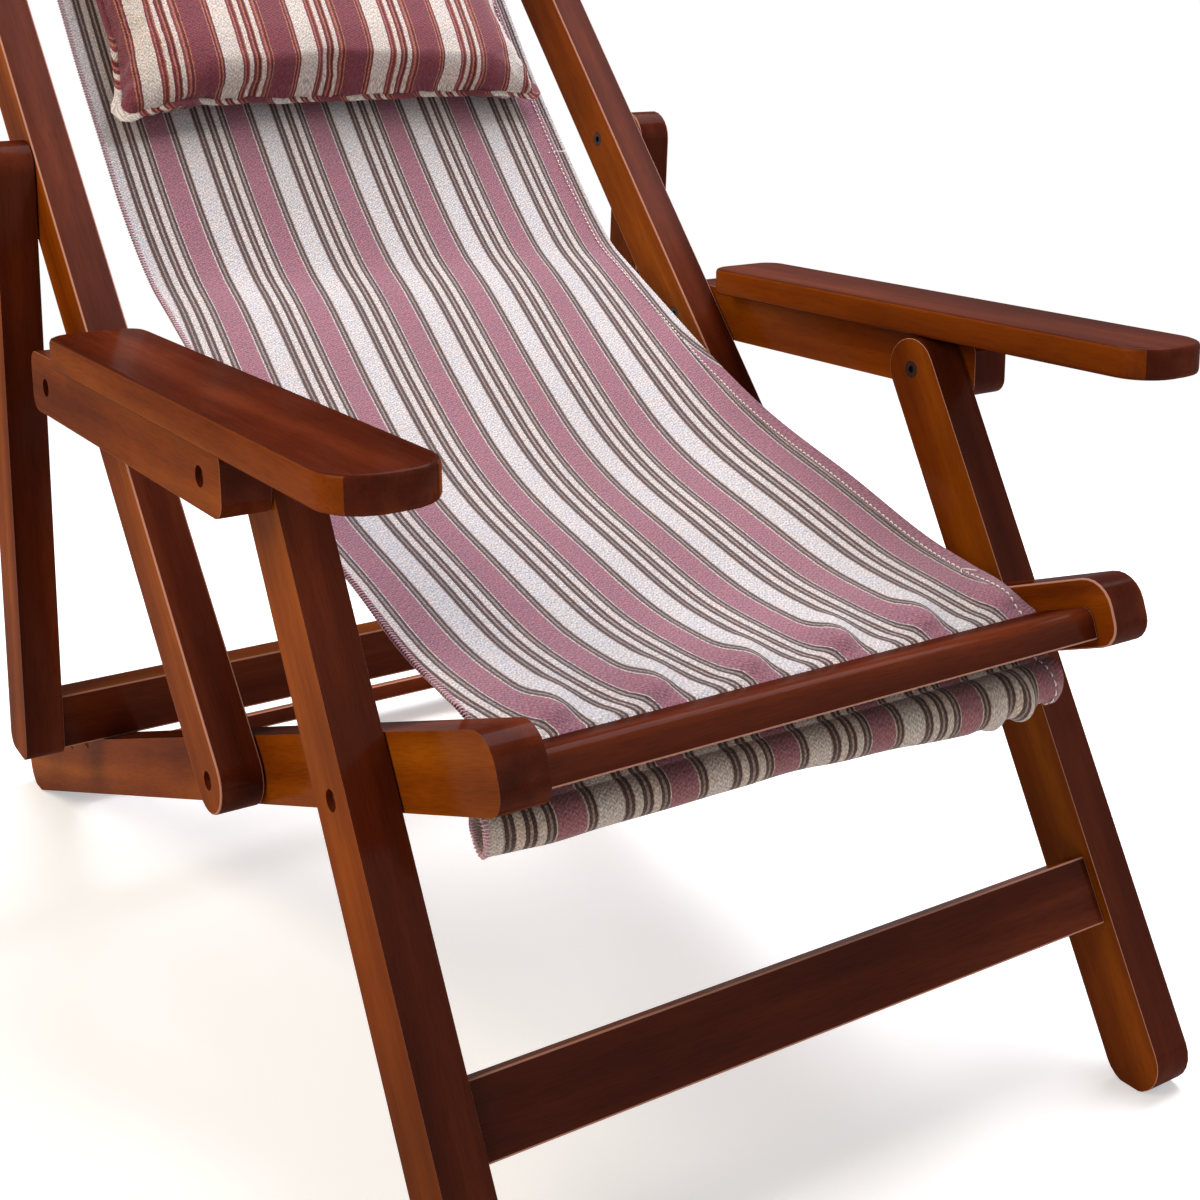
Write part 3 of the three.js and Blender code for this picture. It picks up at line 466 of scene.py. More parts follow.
def plainBeech(name):
    # Turned beech rod, left bare: pale, matt, with short flecks along its length
    material, tree, shader = startMaterial(name)
    place = addNode(tree, "ShaderNodeTexCoord")
    along = addNode(tree, "ShaderNodeMapping", {"Scale": (fineFacts["beechStretch"], 1, 1)},
                    {"Vector": place.outputs["Object"]})
    fleck = addNode(tree, "ShaderNodeTexNoise", {"Scale": 1 / fineFacts["beechFleck"], "Detail": 3.0},
                    {"Vector": along.outputs[0]})
    ramp = addNode(tree, "ShaderNodeValToRGB", links={0: fleck.outputs["Fac"]})
    fillRamp(ramp, [(0.35, "#8f6238"), (0.65, "#b98a56")])
    tree.links.new(ramp.outputs["Color"], shader.inputs["Base Color"])
    bump = addNode(tree, "ShaderNodeBump", {"Strength": 0.2, "Distance": 0.0002},
                   {"Height": fleck.outputs["Fac"]})
    tree.links.new(bump.outputs[0], shader.inputs["Normal"])
    shader.inputs["Roughness"].default_value = 0.62
    return material


mahogany = varnishedMahogany("varnished_mahogany")
# the arrises' copy carries a painted highlight besides its worn stain
mahoganyArris = varnishedMahogany("varnished_mahogany_arris", worn=True)
slingCloth = stripedCanvas("striped_sling_canvas", slingStripes, weaveFacts["sling"])
cushionCloth = stripedCanvas("striped_cushion_canvas", cushionStripes, weaveFacts["cushion"])
whiteThread = sewingThread("white_cotton_thread", "#efe8e4")
pinkThread = sewingThread("pink_cotton_thread", "#dba6b6")
copperedSteel = metal("coppered_steel", "#c98058", roughness=0.34, grit=0.0009)
blackSteel = metal("black_oxide_steel", "#3a2f29", roughness=0.5, grit=0.0008)
platedSteel = metal("zinc_plated_steel", "#b8b4aa", roughness=0.34, grit=0.0008)
bareBeech = plainBeech("bare_beech")
print("materials made")


# Timbers: each follows its solid, with rounded arrises and its own run of grain

timberFacts = {
    "arris": 0.0011,
    "arrisSteps": 3,
    "sharp": 38,             # degrees between faces from which an edge is an arris
    "boreReach": 0.0095,     # the rims of the pivot bores stay crisp
    "flat": 0.5,             # degrees under which faces are joined into one
    "broadShare": 0.7,       # of its normal along the broad way, over which a face is a broad one
    "logSize": 5,            # each timber's grain is taken from its own place in a log this large
}
timberFrames = {
    # body: angle of the timber's length, its side boards, its crossing bars
    "seat_frame": (-20.0, ["left_seat_rail", "right_seat_rail"],
                   ["front_crossbar", "sling_bar", "rear_crossbar"]),
    "back_frame": (49.7, ["left_back_rail", "right_back_rail"], ["top_crossbar", "top_sling_bar"]),
    "prop_frame": (-86.0, ["left_prop", "right_prop"], ["prop_crossbar"]),
    "leg_frame": (61.287, ["left_leg", "right_leg"], ["leg_stretcher"]),
    "left_arm": (-0.340, ["left_arm_support", "left_armrest"], []),
    "right_arm": (-0.340, ["right_arm_support", "right_armrest"], []),
}


def boreCentres():
    centres = []
    for node in frame["nodes"]:
        if node.endswith("_bolt"):
            low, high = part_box(node)
            centres.append(((low[1] + high[1]) / 2, (low[2] + high[2]) / 2))
    return centres


def markArrises(piece, centres):
    work = bmesh.new()
    work.from_mesh(piece.data)
    weight = work.edges.layers.float.new("bevel_weight_edge")
    for edge in work.edges:
        if len(edge.link_faces) != 2 or edge.calc_face_angle(0.0) < math.radians(timberFacts["sharp"]):
            continue
        middle = (edge.verts[0].co + edge.verts[1].co) / 2
        nearest = min(math.hypot(middle.y - y, middle.z - z) for y, z in centres)
        if nearest > timberFacts["boreReach"]:
            edge[weight] = 1.0
    work.to_mesh(piece.data)
    work.free()


def markGrain(piece, angle, bar):
    turn = Matrix.Rotation(math.radians(-angle), 3, "X")
    shift = Vector([random.uniform(0, timberFacts["logSize"]) for _ in range(3)])
    places = []
    for vertex in piece.data.vertices:
        local = turn @ vertex.co
        place = (local.x, local.y, local.z) if bar else (local.y, local.x, local.z)
        places.append((place[0] + shift.x, place[1] + shift.y, place[2] + shift.z))
    markPlaces(piece, "grainPlace", places)


def markEdgeFaces(piece, broadWay):
    # the broad faces look along broadWay, and the rest of the board is its edges and ends, which take the
    # painted shade
    layer = piece.data.attributes.new("edgeFace", "FLOAT", "FACE")
    shares = []
    for face in piece.data.polygons:
        shares.append(0.0 if abs(face.normal.dot(broadWay)) > timberFacts["broadShare"] else 1.0)
    layer.data.foreach_set("value", shares)


def makeTimber(node, body, angle, bar, centres):
    piece = copyNode(node, node + "_timber")
    editWhole(piece)
    bpy.ops.mesh.dissolve_limited(angle_limit=math.radians(timberFacts["flat"]))
    bpy.ops.object.mode_set(mode="OBJECT")
    setMaterials(piece, mahogany, mahoganyArris)
    if "armrest" not in node:
        markArrises(piece, centres)
        # the rounded arrises take the second material, with its painted highlight
        applyModifier(piece, "BEVEL", width=timberFacts["arris"], segments=timberFacts["arrisSteps"],
                      limit_method="WEIGHT", material=1)
    markGrain(piece, angle, bar)
    markEdgeFaces(piece, Vector((0, 0, 1)) if bar and node != "front_crossbar" else Vector((1, 0, 0)))
    smooth(piece, 35)
    applyModifier(piece, "WEIGHTED_NORMAL", keep_sharp=True, weight=60)
    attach(piece, body)
    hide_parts(node)


def makeTimbers():
    centres = boreCentres()
    for body, (angle, boards, bars) in timberFrames.items():
        for node in boards:
            makeTimber(node, body, angle, False, centres)
        for node in bars:
            makeTimber(node, body, angle, True, centres)


makeTimbers()
print("timbers made")

for node, piece in frame["nodes"].items():
    if node.endswith("_bolt"):
        setMaterials(piece, copperedSteel)
    elif node.endswith("_nut"):
        setMaterials(piece, blackSteel)
    elif node.endswith("_washer") or node.endswith("_screw"):
        setMaterials(piece, platedSteel)
    elif node.endswith("_dowel"):
        setMaterials(piece, bareBeech)


# Sling: one length of canvas from the rod under the front bar to the rod behind the top bar

slingFacts = {
    "seatPivot": (-0.101407, 0.217),
    "seatAngle": timberFrames["seat_frame"][0],
    "backAngle": timberFrames["back_frame"][0],
    "halfWidth": 0.203,
    "thickness": 0.0018,
    # each bar's two sides along its frame, then its underside and its top
    "frontBar": (-0.281, -0.259, -0.0165, 0.0045),
    "topBar": (0.753, 0.775, -0.0165, 0.0045),
    "barEdge": 0.004,
    "canvasTurn": 0.0053,
    "rodDrop": 0.0215,
    "pocketRadius": 0.0119,
    "tuckShift": 0.0021,     # the cut edge, tucked in beside the pocket's seam
    "tuckDrop": 0.003,
    "tuckRun": 0.004,
    "loopFrom": 24,          # degrees round the rod, where the pocket starts and where it closes
    "loopTo": 350,
    "loopStart": 0.006,      # the same start, along the cloth
    "loopSteps": 30,
    "turnSteps": 8,
    "leaveFront": 36.0,
    "leaveTop": 2.0,
    "sag": 0.115,
    "profile": [(0.043, 0.10), (0.109, 0.31), (0.196, 0.49), (0.344, 0.81),
                (0.525, 0.98), (0.607, 0.99), (0.754, 0.70), (0.884, 0.34)],
    "columns": 116,
    "step": 0.0045,
    "endStep": 0.0025,
    "spanSteps": 40,
    "bendFrom": 6,           # steps of the open run left to the seat, and to the back
    "bendTo": 8,
    "lobe": weaveFacts["sling"]["repeat"],   # one bulge behind the front bar for each repeat
    "lobeHeight": 0.0085,
    "lobeReach": 0.042,
    "bellySag": 0.010,       # the middle of the seat hangs lower than its edges
    "drift": [(-0.02, 0.0), (0.0, -0.004), (0.02, 0.006), (0.05, 0.018), (0.12, 0.023),
              (0.25, 0.025), (0.385, 0.014), (0.50, 0.002), (0.56, 0.0)],
    "roomyEnd": 0.018,       # the pocket's open end reaches under the rail
    "hemWidth": 0.013,
    "hemRise": 0.0007,
    "driftLess": 0.55,       # the sitter's left half drifts by this share less
    "driftFrom": 0.08,
    "driftWidth": 0.12,
    "hemStripe": 0.3875,     # the mauve band that the folded hem shows
    "hemShrink": 0.4,
    "hemFadeFrom": 0.30,
    "hemFadeReach": 0.14,
}
# How the canvas departs from its plain path: lengths in metres, and waves of the noise for each metre
reliefFacts = {
    "calmFront": 0.03,       # beside each bar the canvas lies still
    "calmTop": 0.06,
    "ripple": 0.0018,
    "rippleAcross": 9,
    "rippleAlong": 5,
    "bellyPlace": 0.24,      # middle of the seat, from the front bar
    "bellyReach": 0.15,
    "lobeFull": 0.014,       # from the front bar to where the bulges stand highest
    "lobeShift": 0.021,
    "lobeSlant": 0.25,
    "lobeUneven": 0.10,
    "lobeSunk": 0.2,
    "pocketRipple": 0.0012,
    "pocketAcross": 22,
    "pocketAlong": 25,
    "steadyEdge": 0.01,
    "steadyBar": 0.02,
    "drawnFrom": 0.06,       # the open end is drawn out from here on
    "drawnPower": 1.4,
    "mouthFrom": 0.166,      # the open mouth of the pocket, at the sitter's right
    "mouthWidth": 0.034,
    "mouthLong": 0.0014,
    "mouthNarrow": 0.0048,
    "slack": 0.0085,
    "slackFrom": 0.02,
    "slackWidth": 0.16,
    "slackEnd": 0.165,
    "slackFade": 0.038,
    "gather": 0.0026,
    "gatherFrom": 0.115,
    "gatherWidth": 0.04,
    "gatherAcross": 230,
    "gatherAlong": 150,
    "edgeStray": 0.0010,
    "edgeAlong": 11,
    "lipLift": 0.0025,       # the mouth's upper lip stands up
    "lipFrom": 0.163,
    "lipWidth": 0.040,
    "lipFade": 0.012,
}


def toWorld(angle, y, z):
    turn = math.radians(angle)
    pivot = slingFacts["seatPivot"]
    return Vector((pivot[0] + y * math.cos(turn) - z * math.sin(turn),
                   pivot[1] + y * math.sin(turn) + z * math.cos(turn)))


def arcPoints(centre, radius, start, end, count):
    points = []
    for i in range(count + 1):
        turn = math.radians(start + (end - start) * i / count)
        points.append(centre + Vector((math.cos(turn), math.sin(turn))) * radius)
    return points


def throughPoints(points, perSpan):
    curve = []
    last = len(points) - 1
    for i in range(last):
        p0, p1 = points[max(i - 1, 0)], points[i]
        p2, p3 = points[i + 1], points[min(i + 2, last)]
        v0, v1 = (p2 - p0) * 0.5, (p3 - p1) * 0.5
        for k in range(perSpan):
            t = k / perSpan
            curve.append((2 * p1 - 2 * p2 + v0 + v1) * t ** 3
                         + (3 * p2 - 3 * p1 - 2 * v0 - v1) * t ** 2 + v0 * t + p1)
    curve.append(points[-1])
    return curve


def slingEnd(bar, direction, angle, leave):
    # from the tucked edge, round the rod, up beside the bar and over it
    facts = slingFacts
    edge = bar[0] + facts["barEdge"] if direction > 0 else bar[1] - facts["barEdge"]
    neck = edge - direction * facts["canvasTurn"]
    turnCentre = Vector((edge, bar[3] - facts["barEdge"]))
    start = 180 if direction > 0 else 0
    over = arcPoints(turnCentre, facts["canvasTurn"], start, 90 + direction * leave, facts["turnSteps"])
    rod = Vector((neck, bar[2] - facts["rodDrop"]))
    tuck = rod + Vector((direction * facts["tuckShift"], facts["rodDrop"] - facts["tuckDrop"]))
    loop = arcPoints(rod, facts["pocketRadius"], 90 - direction * facts["loopFrom"],
                     90 - direction * facts["loopTo"], facts["loopSteps"])
    low = Vector((neck, bar[2]))
    down = Vector((0, -facts["tuckRun"]))
    path = [tuck, tuck + down] + loop + [low + down, low] + over
    return [toWorld(angle, p.x, p.y) for p in path]


def runLengths(points):
    lengths = [0.0]
    for a, b in zip(points, points[1:]):
        lengths.append(lengths[-1] + (b - a).length)
    return lengths


def evenly(points, step):
    lengths = runLengths(points)
    count = max(1, round(lengths[-1] / step))
    result = []
    k = 0
    for i in range(count + 1):
        goal = lengths[-1] * i / count
        while k < len(lengths) - 2 and lengths[k + 1] < goal:
            k += 1
        t = (goal - lengths[k]) / max(1e-9, lengths[k + 1] - lengths[k])
        result.append(points[k].lerp(points[k + 1], t))
    return result


def planSling():
    facts = slingFacts
    front = slingEnd(facts["frontBar"], 1, facts["seatAngle"], facts["leaveFront"])
    top = slingEnd(facts["topBar"], -1, facts["backAngle"], facts["leaveTop"])
    start = front[-1]
    end = top[-1]
    chord = end - start
    sagward = Vector((chord.y, -chord.x)).normalized()
    middle = [start + chord * a + sagward * d * facts["sag"] for a, d in facts["profile"]]
    span = evenly(throughPoints([start] + middle + [end], facts["spanSteps"]), facts["step"])
    frontRun = evenly(front, facts["endStep"])
    topRun = evenly(list(reversed(top)), facts["endStep"])
    line = frontRun + span[1:] + topRun[1:]
    last = len(line) - 1
    normals = []
    for i in range(len(line)):
        along = (line[min(i + 1, last)] - line[max(i - 1, 0)]).normalized()
        normals.append(Vector((-along.y, along.x)))
    lengths = runLengths(line)
    loopTurn = math.radians(facts["loopTo"] - facts["loopFrom"])
    return {
        "line": line,
        "normals": normals,
        "lengths": lengths,
        "whole": lengths[-1],
        "spanStart": lengths[len(frontRun) - 1],
        "spanEnd": lengths[len(frontRun) + len(span) - 2],
        "loopStart": facts["loopStart"],
        "loopEnd": facts["loopStart"] + facts["pocketRadius"] * loopTurn,
        "bendStart": span[facts["bendFrom"]],
        "bendEnd": span[-facts["bendTo"]],
    }


slingPath = planSling()


def slingRelief(x, s):
    # how far the canvas stands off its plain path, and how far it is drawn sideways
    facts = slingFacts
    folds = reliefFacts
    path = slingPath
    half = facts["halfWidth"]
    onSpan = s - path["spanStart"]
    left = path["spanEnd"] - s
    rise = 0.0
    slide = 0.0
    if onSpan > 0 and left > 0:
        calm = ease(onSpan / folds["calmFront"]) * ease(left / folds["calmTop"])
        spot = Vector((x * folds["rippleAcross"], onSpan * folds["rippleAlong"], 1.7))
        rise += calm * folds["ripple"] * noise.noise(spot)
        seat = math.exp(-((onSpan - folds["bellyPlace"]) / folds["bellyReach"]) ** 2)
        rise -= calm * facts["bellySag"] * seat * (1 - (x / half) ** 2)
        # slack canvas bulges behind the front bar, with a crease between the bulges
        full = folds["lobeFull"]
        grow = ease(onSpan / full) * (1 - ease((onSpan - full) / facts["lobeReach"]))
        turn = (x + folds["lobeShift"] - onSpan * folds["lobeSlant"]) / facts["lobe"]
        turn += folds["lobeUneven"] * math.sin(2 * math.pi * turn)
        varied = 0.85 + 0.5 * noise.noise(Vector((math.floor(turn + 0.5) * 1.7, 0.3, 8.8)))
        bulge = 0.5 + 0.5 * math.cos(2 * math.pi * turn)
        rise += facts["lobeHeight"] * grow * varied * (bulge - folds["lobeSunk"])
    elif s < path["spanStart"]:
        q = (s - path["loopStart"]) / (path["loopEnd"] - path["loopStart"])
        belly = math.sin(math.pi * q) if 0 < q < 1 else 0.0
        steady = ease(s / folds["steadyEdge"]) * ease((path["spanStart"] - s) / folds["steadyBar"])
        spot = Vector((x * folds["pocketAcross"], s * folds["pocketAlong"], 4.1))
        rise += belly * folds["pocketRipple"] * (noise.noise(spot) - 0.2)
        # the sitter's right end reaches further and hangs open
        drawn = max(0.0, (folds["drawnFrom"] - x) / (folds["drawnFrom"] + half))
        slide -= steady * facts["roomyEnd"] * drawn ** folds["drawnPower"]
        past = ease((-x - folds["mouthFrom"]) / folds["mouthWidth"])
        if belly:
            narrow = folds["mouthNarrow"] * abs(math.sin(2 * math.pi * q))
            rise += past * (folds["mouthLong"] * belly ** 4 - narrow)
        # towards the other end the canvas hangs slack, in slanting gathers, and closes on itself
        loose = belly * folds["slack"] * ease((x + folds["slackFrom"]) / folds["slackWidth"])
        rise += loose * (1 - ease((x - folds["slackEnd"]) / folds["slackFade"]))
        tail = ease((x - folds["gatherFrom"]) / folds["gatherWidth"])
        slanting = math.sin(x * folds["gatherAcross"] + s * folds["gatherAlong"])
        rise += belly * folds["gather"] * tail * slanting
    if half - x < facts["hemWidth"]:
        rise += facts["hemRise"]
    stray = noise.noise(Vector((s * folds["edgeAlong"], math.copysign(3.0, x), 0.4)))
    slide += folds["edgeStray"] * stray * (abs(x) / half) ** 4
    return rise, slide


def between(pairs, value):
    # a smooth curve through the pairs, level at both ends
    if value <= pairs[0][0]:
        return pairs[0][1]
    last = len(pairs) - 1
    slopes = [0.0] * (last + 1)
    for i in range(1, last):
        slopes[i] = (pairs[i + 1][1] - pairs[i - 1][1]) / (pairs[i + 1][0] - pairs[i - 1][0])
    for i in range(last):
        a, start = pairs[i]
        b, end = pairs[i + 1]
        if value <= b:
            w = b - a
            t = (value - a) / w
            return ((2 * t ** 3 - 3 * t ** 2 + 1) * start + (t ** 3 - 2 * t ** 2 + t) * w * slopes[i]
                    + (3 * t ** 2 - 2 * t ** 3) * end + (t ** 3 - t ** 2) * w * slopes[i + 1])
    return pairs[-1][1]


def stripePlace(x, s):
    # the stripes wander across the cloth: its edges curl in at the seat, the hem there is folded mauve
    facts = slingFacts
    half = facts["halfWidth"]
    onSpan = s - slingPath["spanStart"]
    drift = between(facts["drift"], onSpan)
    less = facts["driftLess"] * ease((x - facts["driftFrom"]) / facts["driftWidth"])
    across = x + half + drift * (1 - less)
    if half - x < facts["hemWidth"]:
        folded = facts["hemStripe"] + (x - half) * facts["hemShrink"]
        fade = ease((onSpan - facts["hemFadeFrom"]) / facts["hemFadeReach"])
        across += (folded - across) * (1 - fade)
    return across


def slingSpot(x, s):
    # the point of the canvas at x across and s along, and the way it faces there
    folds = reliefFacts
    path = slingPath
    s = min(max(s, 0.0), path["whole"] - 1e-6)
    i = min(bisect.bisect_right(path["lengths"], s) - 1, len(path["lengths"]) - 2)
    t = (s - path["lengths"][i]) / (path["lengths"][i + 1] - path["lengths"][i])
    point = path["line"][i].lerp(path["line"][i + 1], t)
    normal = path["normals"][i].lerp(path["normals"][i + 1], t).normalized()
    rise, slide = slingRelief(x, s)
    out = Vector((0, normal.x, normal.y))
    lifted = folds["lipLift"] * ease((-x - folds["lipFrom"]) / folds["lipWidth"])
    lifted *= 1 - ease((s - path["loopEnd"]) / folds["lipFade"])
    return Vector((x + slide, point.x, point.y + lifted)) + out * rise, out


def bendWithSling(piece):
    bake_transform(piece)


def makeSling():
    facts = slingFacts
    path = slingPath
    columns = facts["columns"]
    half = facts["halfWidth"]
    points = []
    places = []
    for s in path["lengths"]:
        for j in range(columns + 1):
            x = -half + 2 * half * j / columns
            points.append(slingSpot(x, s)[0])
            places.append((stripePlace(x, s), s, 0.0))
    faces = []
    for i in range(len(path["lengths"]) - 1):
        for j in range(columns):
            a = i * (columns + 1) + j
            faces.append((a, a + 1, a + columns + 2, a + columns + 1))
    sling = newPiece("striped_sling", points, faces)
    markPlaces(sling, "place", places)
    applyModifier(sling, "SOLIDIFY", thickness=facts["thickness"], offset=0.0)
    smooth(sling, 60)
    setMaterials(sling, slingCloth)
    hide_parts("sling")
    bendWithSling(sling)
    print("sling made, cut length", round(path["whole"], 3))
    return sling


sling = makeSling()


# Sewing on the sling: thread is laid as many short tubes, each of few faces

threadFacts = {
    "stitchLength": 0.0030,
    "stitchPitch": 0.0046,
    "stitchRadius": 0.00055,
    "hemLine": 0.0125,
    "sergePitch": 0.0026,
    "sergeWidth": 0.0030,
    "sergeRadius": 0.00045,
    "sergeLead": 0.0012,     # each stitch over the edge leans by this
    "sergeMargin": 0.008,
    "dip": 0.0006,           # a stitch's ends go into the cloth
    "crown": 0.0002,
    "hemLift": 0.0003,
    "hemStray": 0.0006,
    "hemMargin": 0.004,
    "hemTail": 0.012,
    "pocketLift": 0.0002,
    "pocketSeam": 0.0055,
    "pocketMargin": 0.006,
    "pocketTail": 0.008,
    "loose": [(0.052, 0.010), (0.640, 0.014)],   # each loose end's place from the bar, and its length
    "looseSteps": 6,
    "looseRadius": 0.00045,
    "knotPlace": 0.020,
    "knotLoops": [(0.0034, 0.0), (0.0026, 1.3)],   # each loop's size and turn
    "knotSteps": 32,
    "knotRadius": 0.0009,
}


def addTube(points, faces, path, radius, sides=5, taper=0.55):
    base = len(points)
    count = len(path)
    for i, spot in enumerate(path):
        along = (path[min(i + 1, count - 1)] - path[max(i - 1, 0)]).normalized()
        side = along.cross(Vector((0.31, 0.52, 0.79))).normalized()
        other = along.cross(side)
        size = radius * (taper if i in (0, count - 1) else 1.0)
        for k in range(sides):
            turn = 2 * math.pi * k / sides
            points.append(spot + (side * math.cos(turn) + other * math.sin(turn)) * size)
    for i in range(count - 1):
        for k in range(sides):
            a = base + i * sides + k
            b = base + i * sides + (k + 1) % sides
            faces.append((a, b, b + sides, a + sides))
    faces.append(tuple(base + k for k in reversed(range(sides))))
    faces.append(tuple(base + (count - 1) * sides + k for k in range(sides)))


def stitchPath(start, end, out, lift):
    middle = (start + end) / 2
    sunk = out * (lift - threadFacts["dip"])
    top = out * (lift + threadFacts["crown"])
    return [start + sunk, start.lerp(end, 0.2) + out * lift, middle + top,
            start.lerp(end, 0.8) + out * lift, end + sunk]


def finishThread(name, points, faces, material):
    piece = newPiece(name, points, faces)
    faceOutwards(piece)
    smooth(piece, 70)
    setMaterials(piece, material)
    bendWithSling(piece)
    return piece


def sewHem():
    facts = threadFacts
    points, faces = [], []
    x = slingFacts["halfWidth"] - facts["hemLine"]
    lift = slingFacts["thickness"] / 2 + facts["hemLift"]
    s = slingPath["loopStart"] + facts["hemMargin"]
    while s < slingPath["whole"] - facts["hemTail"]:
        drift = facts["hemStray"] * noise.noise(Vector((s * 30, 0.2, 5.0)))
        start, out = slingSpot(x + drift, s)
        end, _ = slingSpot(x + drift, s + facts["stitchLength"])
        addTube(points, faces, stitchPath(start, end, out, lift), facts["stitchRadius"])
        s += facts["stitchPitch"]
    # two loose thread ends beside the hem
    for at, reach in facts["loose"]:
        spot, out = slingSpot(x, slingPath["spanStart"] + at)
        path = []
        for k in range(facts["looseSteps"] + 1):
            t = k / facts["looseSteps"]
            curl = Vector((reach * (t - 0.4), 0.004 * math.sin(5 * t), 0.0))
            path.append(spot + curl + out * (0.0012 + 0.004 * t * (1.3 - t)))
        addTube(points, faces, path, facts["looseRadius"])
    return finishThread("hem_stitching", points, faces, whiteThread)


def sewPockets():
    facts = threadFacts
    points, faces = [], []
    lift = slingFacts["thickness"] / 2 + facts["pocketLift"]
    half = slingFacts["halfWidth"]
    seam = facts["pocketSeam"]
    for s in (slingPath["loopEnd"] + seam, slingPath["whole"] - slingPath["loopEnd"] - seam):
        x = -half + facts["pocketMargin"]
        while x < half - facts["pocketTail"]:
            start, out = slingSpot(x, s)
            end, _ = slingSpot(x + facts["stitchLength"], s)
            addTube(points, faces, stitchPath(start, end, out, lift), facts["stitchRadius"])
            x += facts["stitchPitch"]
    return finishThread("pocket_stitching", points, faces, whiteThread)


def sergeEdge():
    facts = threadFacts
    points, faces = [], []
    half = slingFacts["halfWidth"]
    thick = slingFacts["thickness"] / 2 + 0.0004
    s = facts["sergeMargin"]
    while s < slingPath["whole"] - facts["sergeMargin"]:
        reach = facts["sergeWidth"] * (1 + 0.15 * noise.noise(Vector((s * 60, 1.1, 0.0))))
        spot, out = slingSpot(-half, s)
        onward, _ = slingSpot(-half, s + facts["sergeLead"])
        lean = onward - spot
        edge = Vector((-1, 0, 0))
        # over the top of the cloth, round its edge and back under it
        path = [spot - edge * reach + out * thick * 0.9,
                spot - edge * reach * 0.4 + out * (thick + 0.0003) + lean * 0.3,
                spot + edge * 0.0002 + out * thick * 0.9 + lean * 0.6,
                spot + edge * 0.0009 + lean * 0.8,
                spot + edge * 0.0002 - out * thick * 0.9 + lean,
                spot - edge * reach - out * thick * 0.9 + lean]
        addTube(points, faces, path, facts["sergeRadius"], sides=4)
        s += facts["sergePitch"]
    # the thread is tied off in a small knot above the front bar
    knot, out = slingSpot(-half, slingPath["spanStart"] + facts["knotPlace"])
    for size, turn in facts["knotLoops"]:
        path = []
        for k in range(facts["knotSteps"] + 1):
            t = 2 * math.pi * k / facts["knotSteps"]
            path.append(knot + Vector((-0.001 + size * math.sin(t + turn) + size * 0.7 * math.sin(2 * t),
                                       size * math.cos(t) - size * 0.7 * math.cos(2 * t + turn),
                                       size * 0.6 * math.sin(3 * t) + 0.001)))
        addTube(points, faces, path, facts["knotRadius"], taper=1.0)
    return finishThread("serged_edge", points, faces, pinkThread)


hemStitching = sewHem()
pocketStitching = sewPockets()
sergedEdge = sergeEdge()
print("sewing made")


# Head cushion: a stuffed bag of the redder stripe, with a corded seam round its edge

cushionFacts = {
    "voxel": 0.005,
    "pressure": 4.0,
    "frames": 20,
    "cap": 0.012,
    "seamWidth": 0.0034,
    "seamThick": 0.0020,
    "seamSides": 8,
    "seamWave": 0.0016,
    "ear": 0.004,            # the corners of the seam stand out a little
    "pucker": 0.0011,
    "puckerPitch": 0.019,
    "puckerReach": 0.030,
    "restGap": 0.0006,
    "rayFrom": 0.3,          # the canvas is looked for from this far above each point
    "seamStep": 0.0035,
    "seamOut": 0.0012,
    "seamLean": 0.4,         # the seam's cloth is cut on the slant
    "seamTwist": 0.003,
    "earSteps": 2.6,
    "rimPoints": 240,
    "rimRounds": 3,
    "stripesFrom": 0.2,      # stripes are counted from this far to the sitter's right of the middle
}


def backLocal(point):
    # x across, y up the back, z out towards the sitter
    pivot = slingFacts["seatPivot"]
    turn = math.radians(-slingFacts["backAngle"])
    y, z = point.y - pivot[0], point.z - pivot[1]
    return Vector((point.x, y * math.cos(turn) - z * math.sin(turn), y * math.sin(turn) + z * math.cos(turn)))


def fromBack(point):
    place = toWorld(slingFacts["backAngle"], point.y, point.z)
    return Vector((point.x, place.x, place.y))


def layOnSling(piece):
    # nothing of the cushion may reach through the canvas under it
    tree = BVHTree.FromObject(sling, bpy.context.evaluated_depsgraph_get())
    out = fromBack(Vector((0, 0, 1))) - fromBack(Vector((0, 0, 0)))
    for vertex in piece.data.vertices:
        hit = tree.ray_cast(vertex.co + out * cushionFacts["rayFrom"], -out)[0]
        if hit:
            short = cushionFacts["restGap"] - (vertex.co - hit).dot(out)
            if short > 0:
                vertex.co += out * short


def finishCushionPiece(piece, node=None):
    setMaterials(piece, cushionCloth)
    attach(piece, "back_frame")
    if node:
        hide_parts(node)


def markOnBack(piece):
    places = []
    for vertex in piece.data.vertices:
        local = backLocal(vertex.co)
        places.append((local.x + cushionFacts["stripesFrom"], local.y, 0.0))
    markPlaces(piece, "place", places)


def swell(cushion):
    # the stuffing pushes the bag outwards, no further than the cap
    facts = cushionFacts
    before = [v.co.copy() for v in cushion.data.vertices]
    makeActive(cushion)
    cloth = cushion.modifiers.new("cloth", "CLOTH")
    cloth.settings.quality = 5
    cloth.settings.mass = 0.3
    cloth.settings.tension_stiffness = 12
    cloth.settings.compression_stiffness = 12
    cloth.settings.bending_stiffness = 0.6
    cloth.settings.use_pressure = True
    cloth.settings.uniform_pressure_force = facts["pressure"]
    cloth.settings.effector_weights.gravity = 0
    for number in range(1, facts["frames"] + 1):
        bpy.context.scene.frame_set(number)
    bpy.ops.object.modifier_apply(modifier=cloth.name)
    bpy.context.scene.frame_set(1)
    for vertex, start in zip(cushion.data.vertices, before):
        move = vertex.co - start
        if move.length > facts["cap"]:
            vertex.co = start + move * (facts["cap"] / move.length)


def makeCushion():
    cushion = copyNode("head_cushion", "head_cushion_bag")
    applyModifier(cushion, "REMESH", mode="VOXEL", voxel_size=cushionFacts["voxel"])
    markOnBack(cushion)
    swell(cushion)
    applyModifier(cushion, "SUBSURF", levels=1, render_levels=1)
    smooth(cushion, 70)
    finishCushionPiece(cushion, "head_cushion")
    print("cushion made")
    return cushion


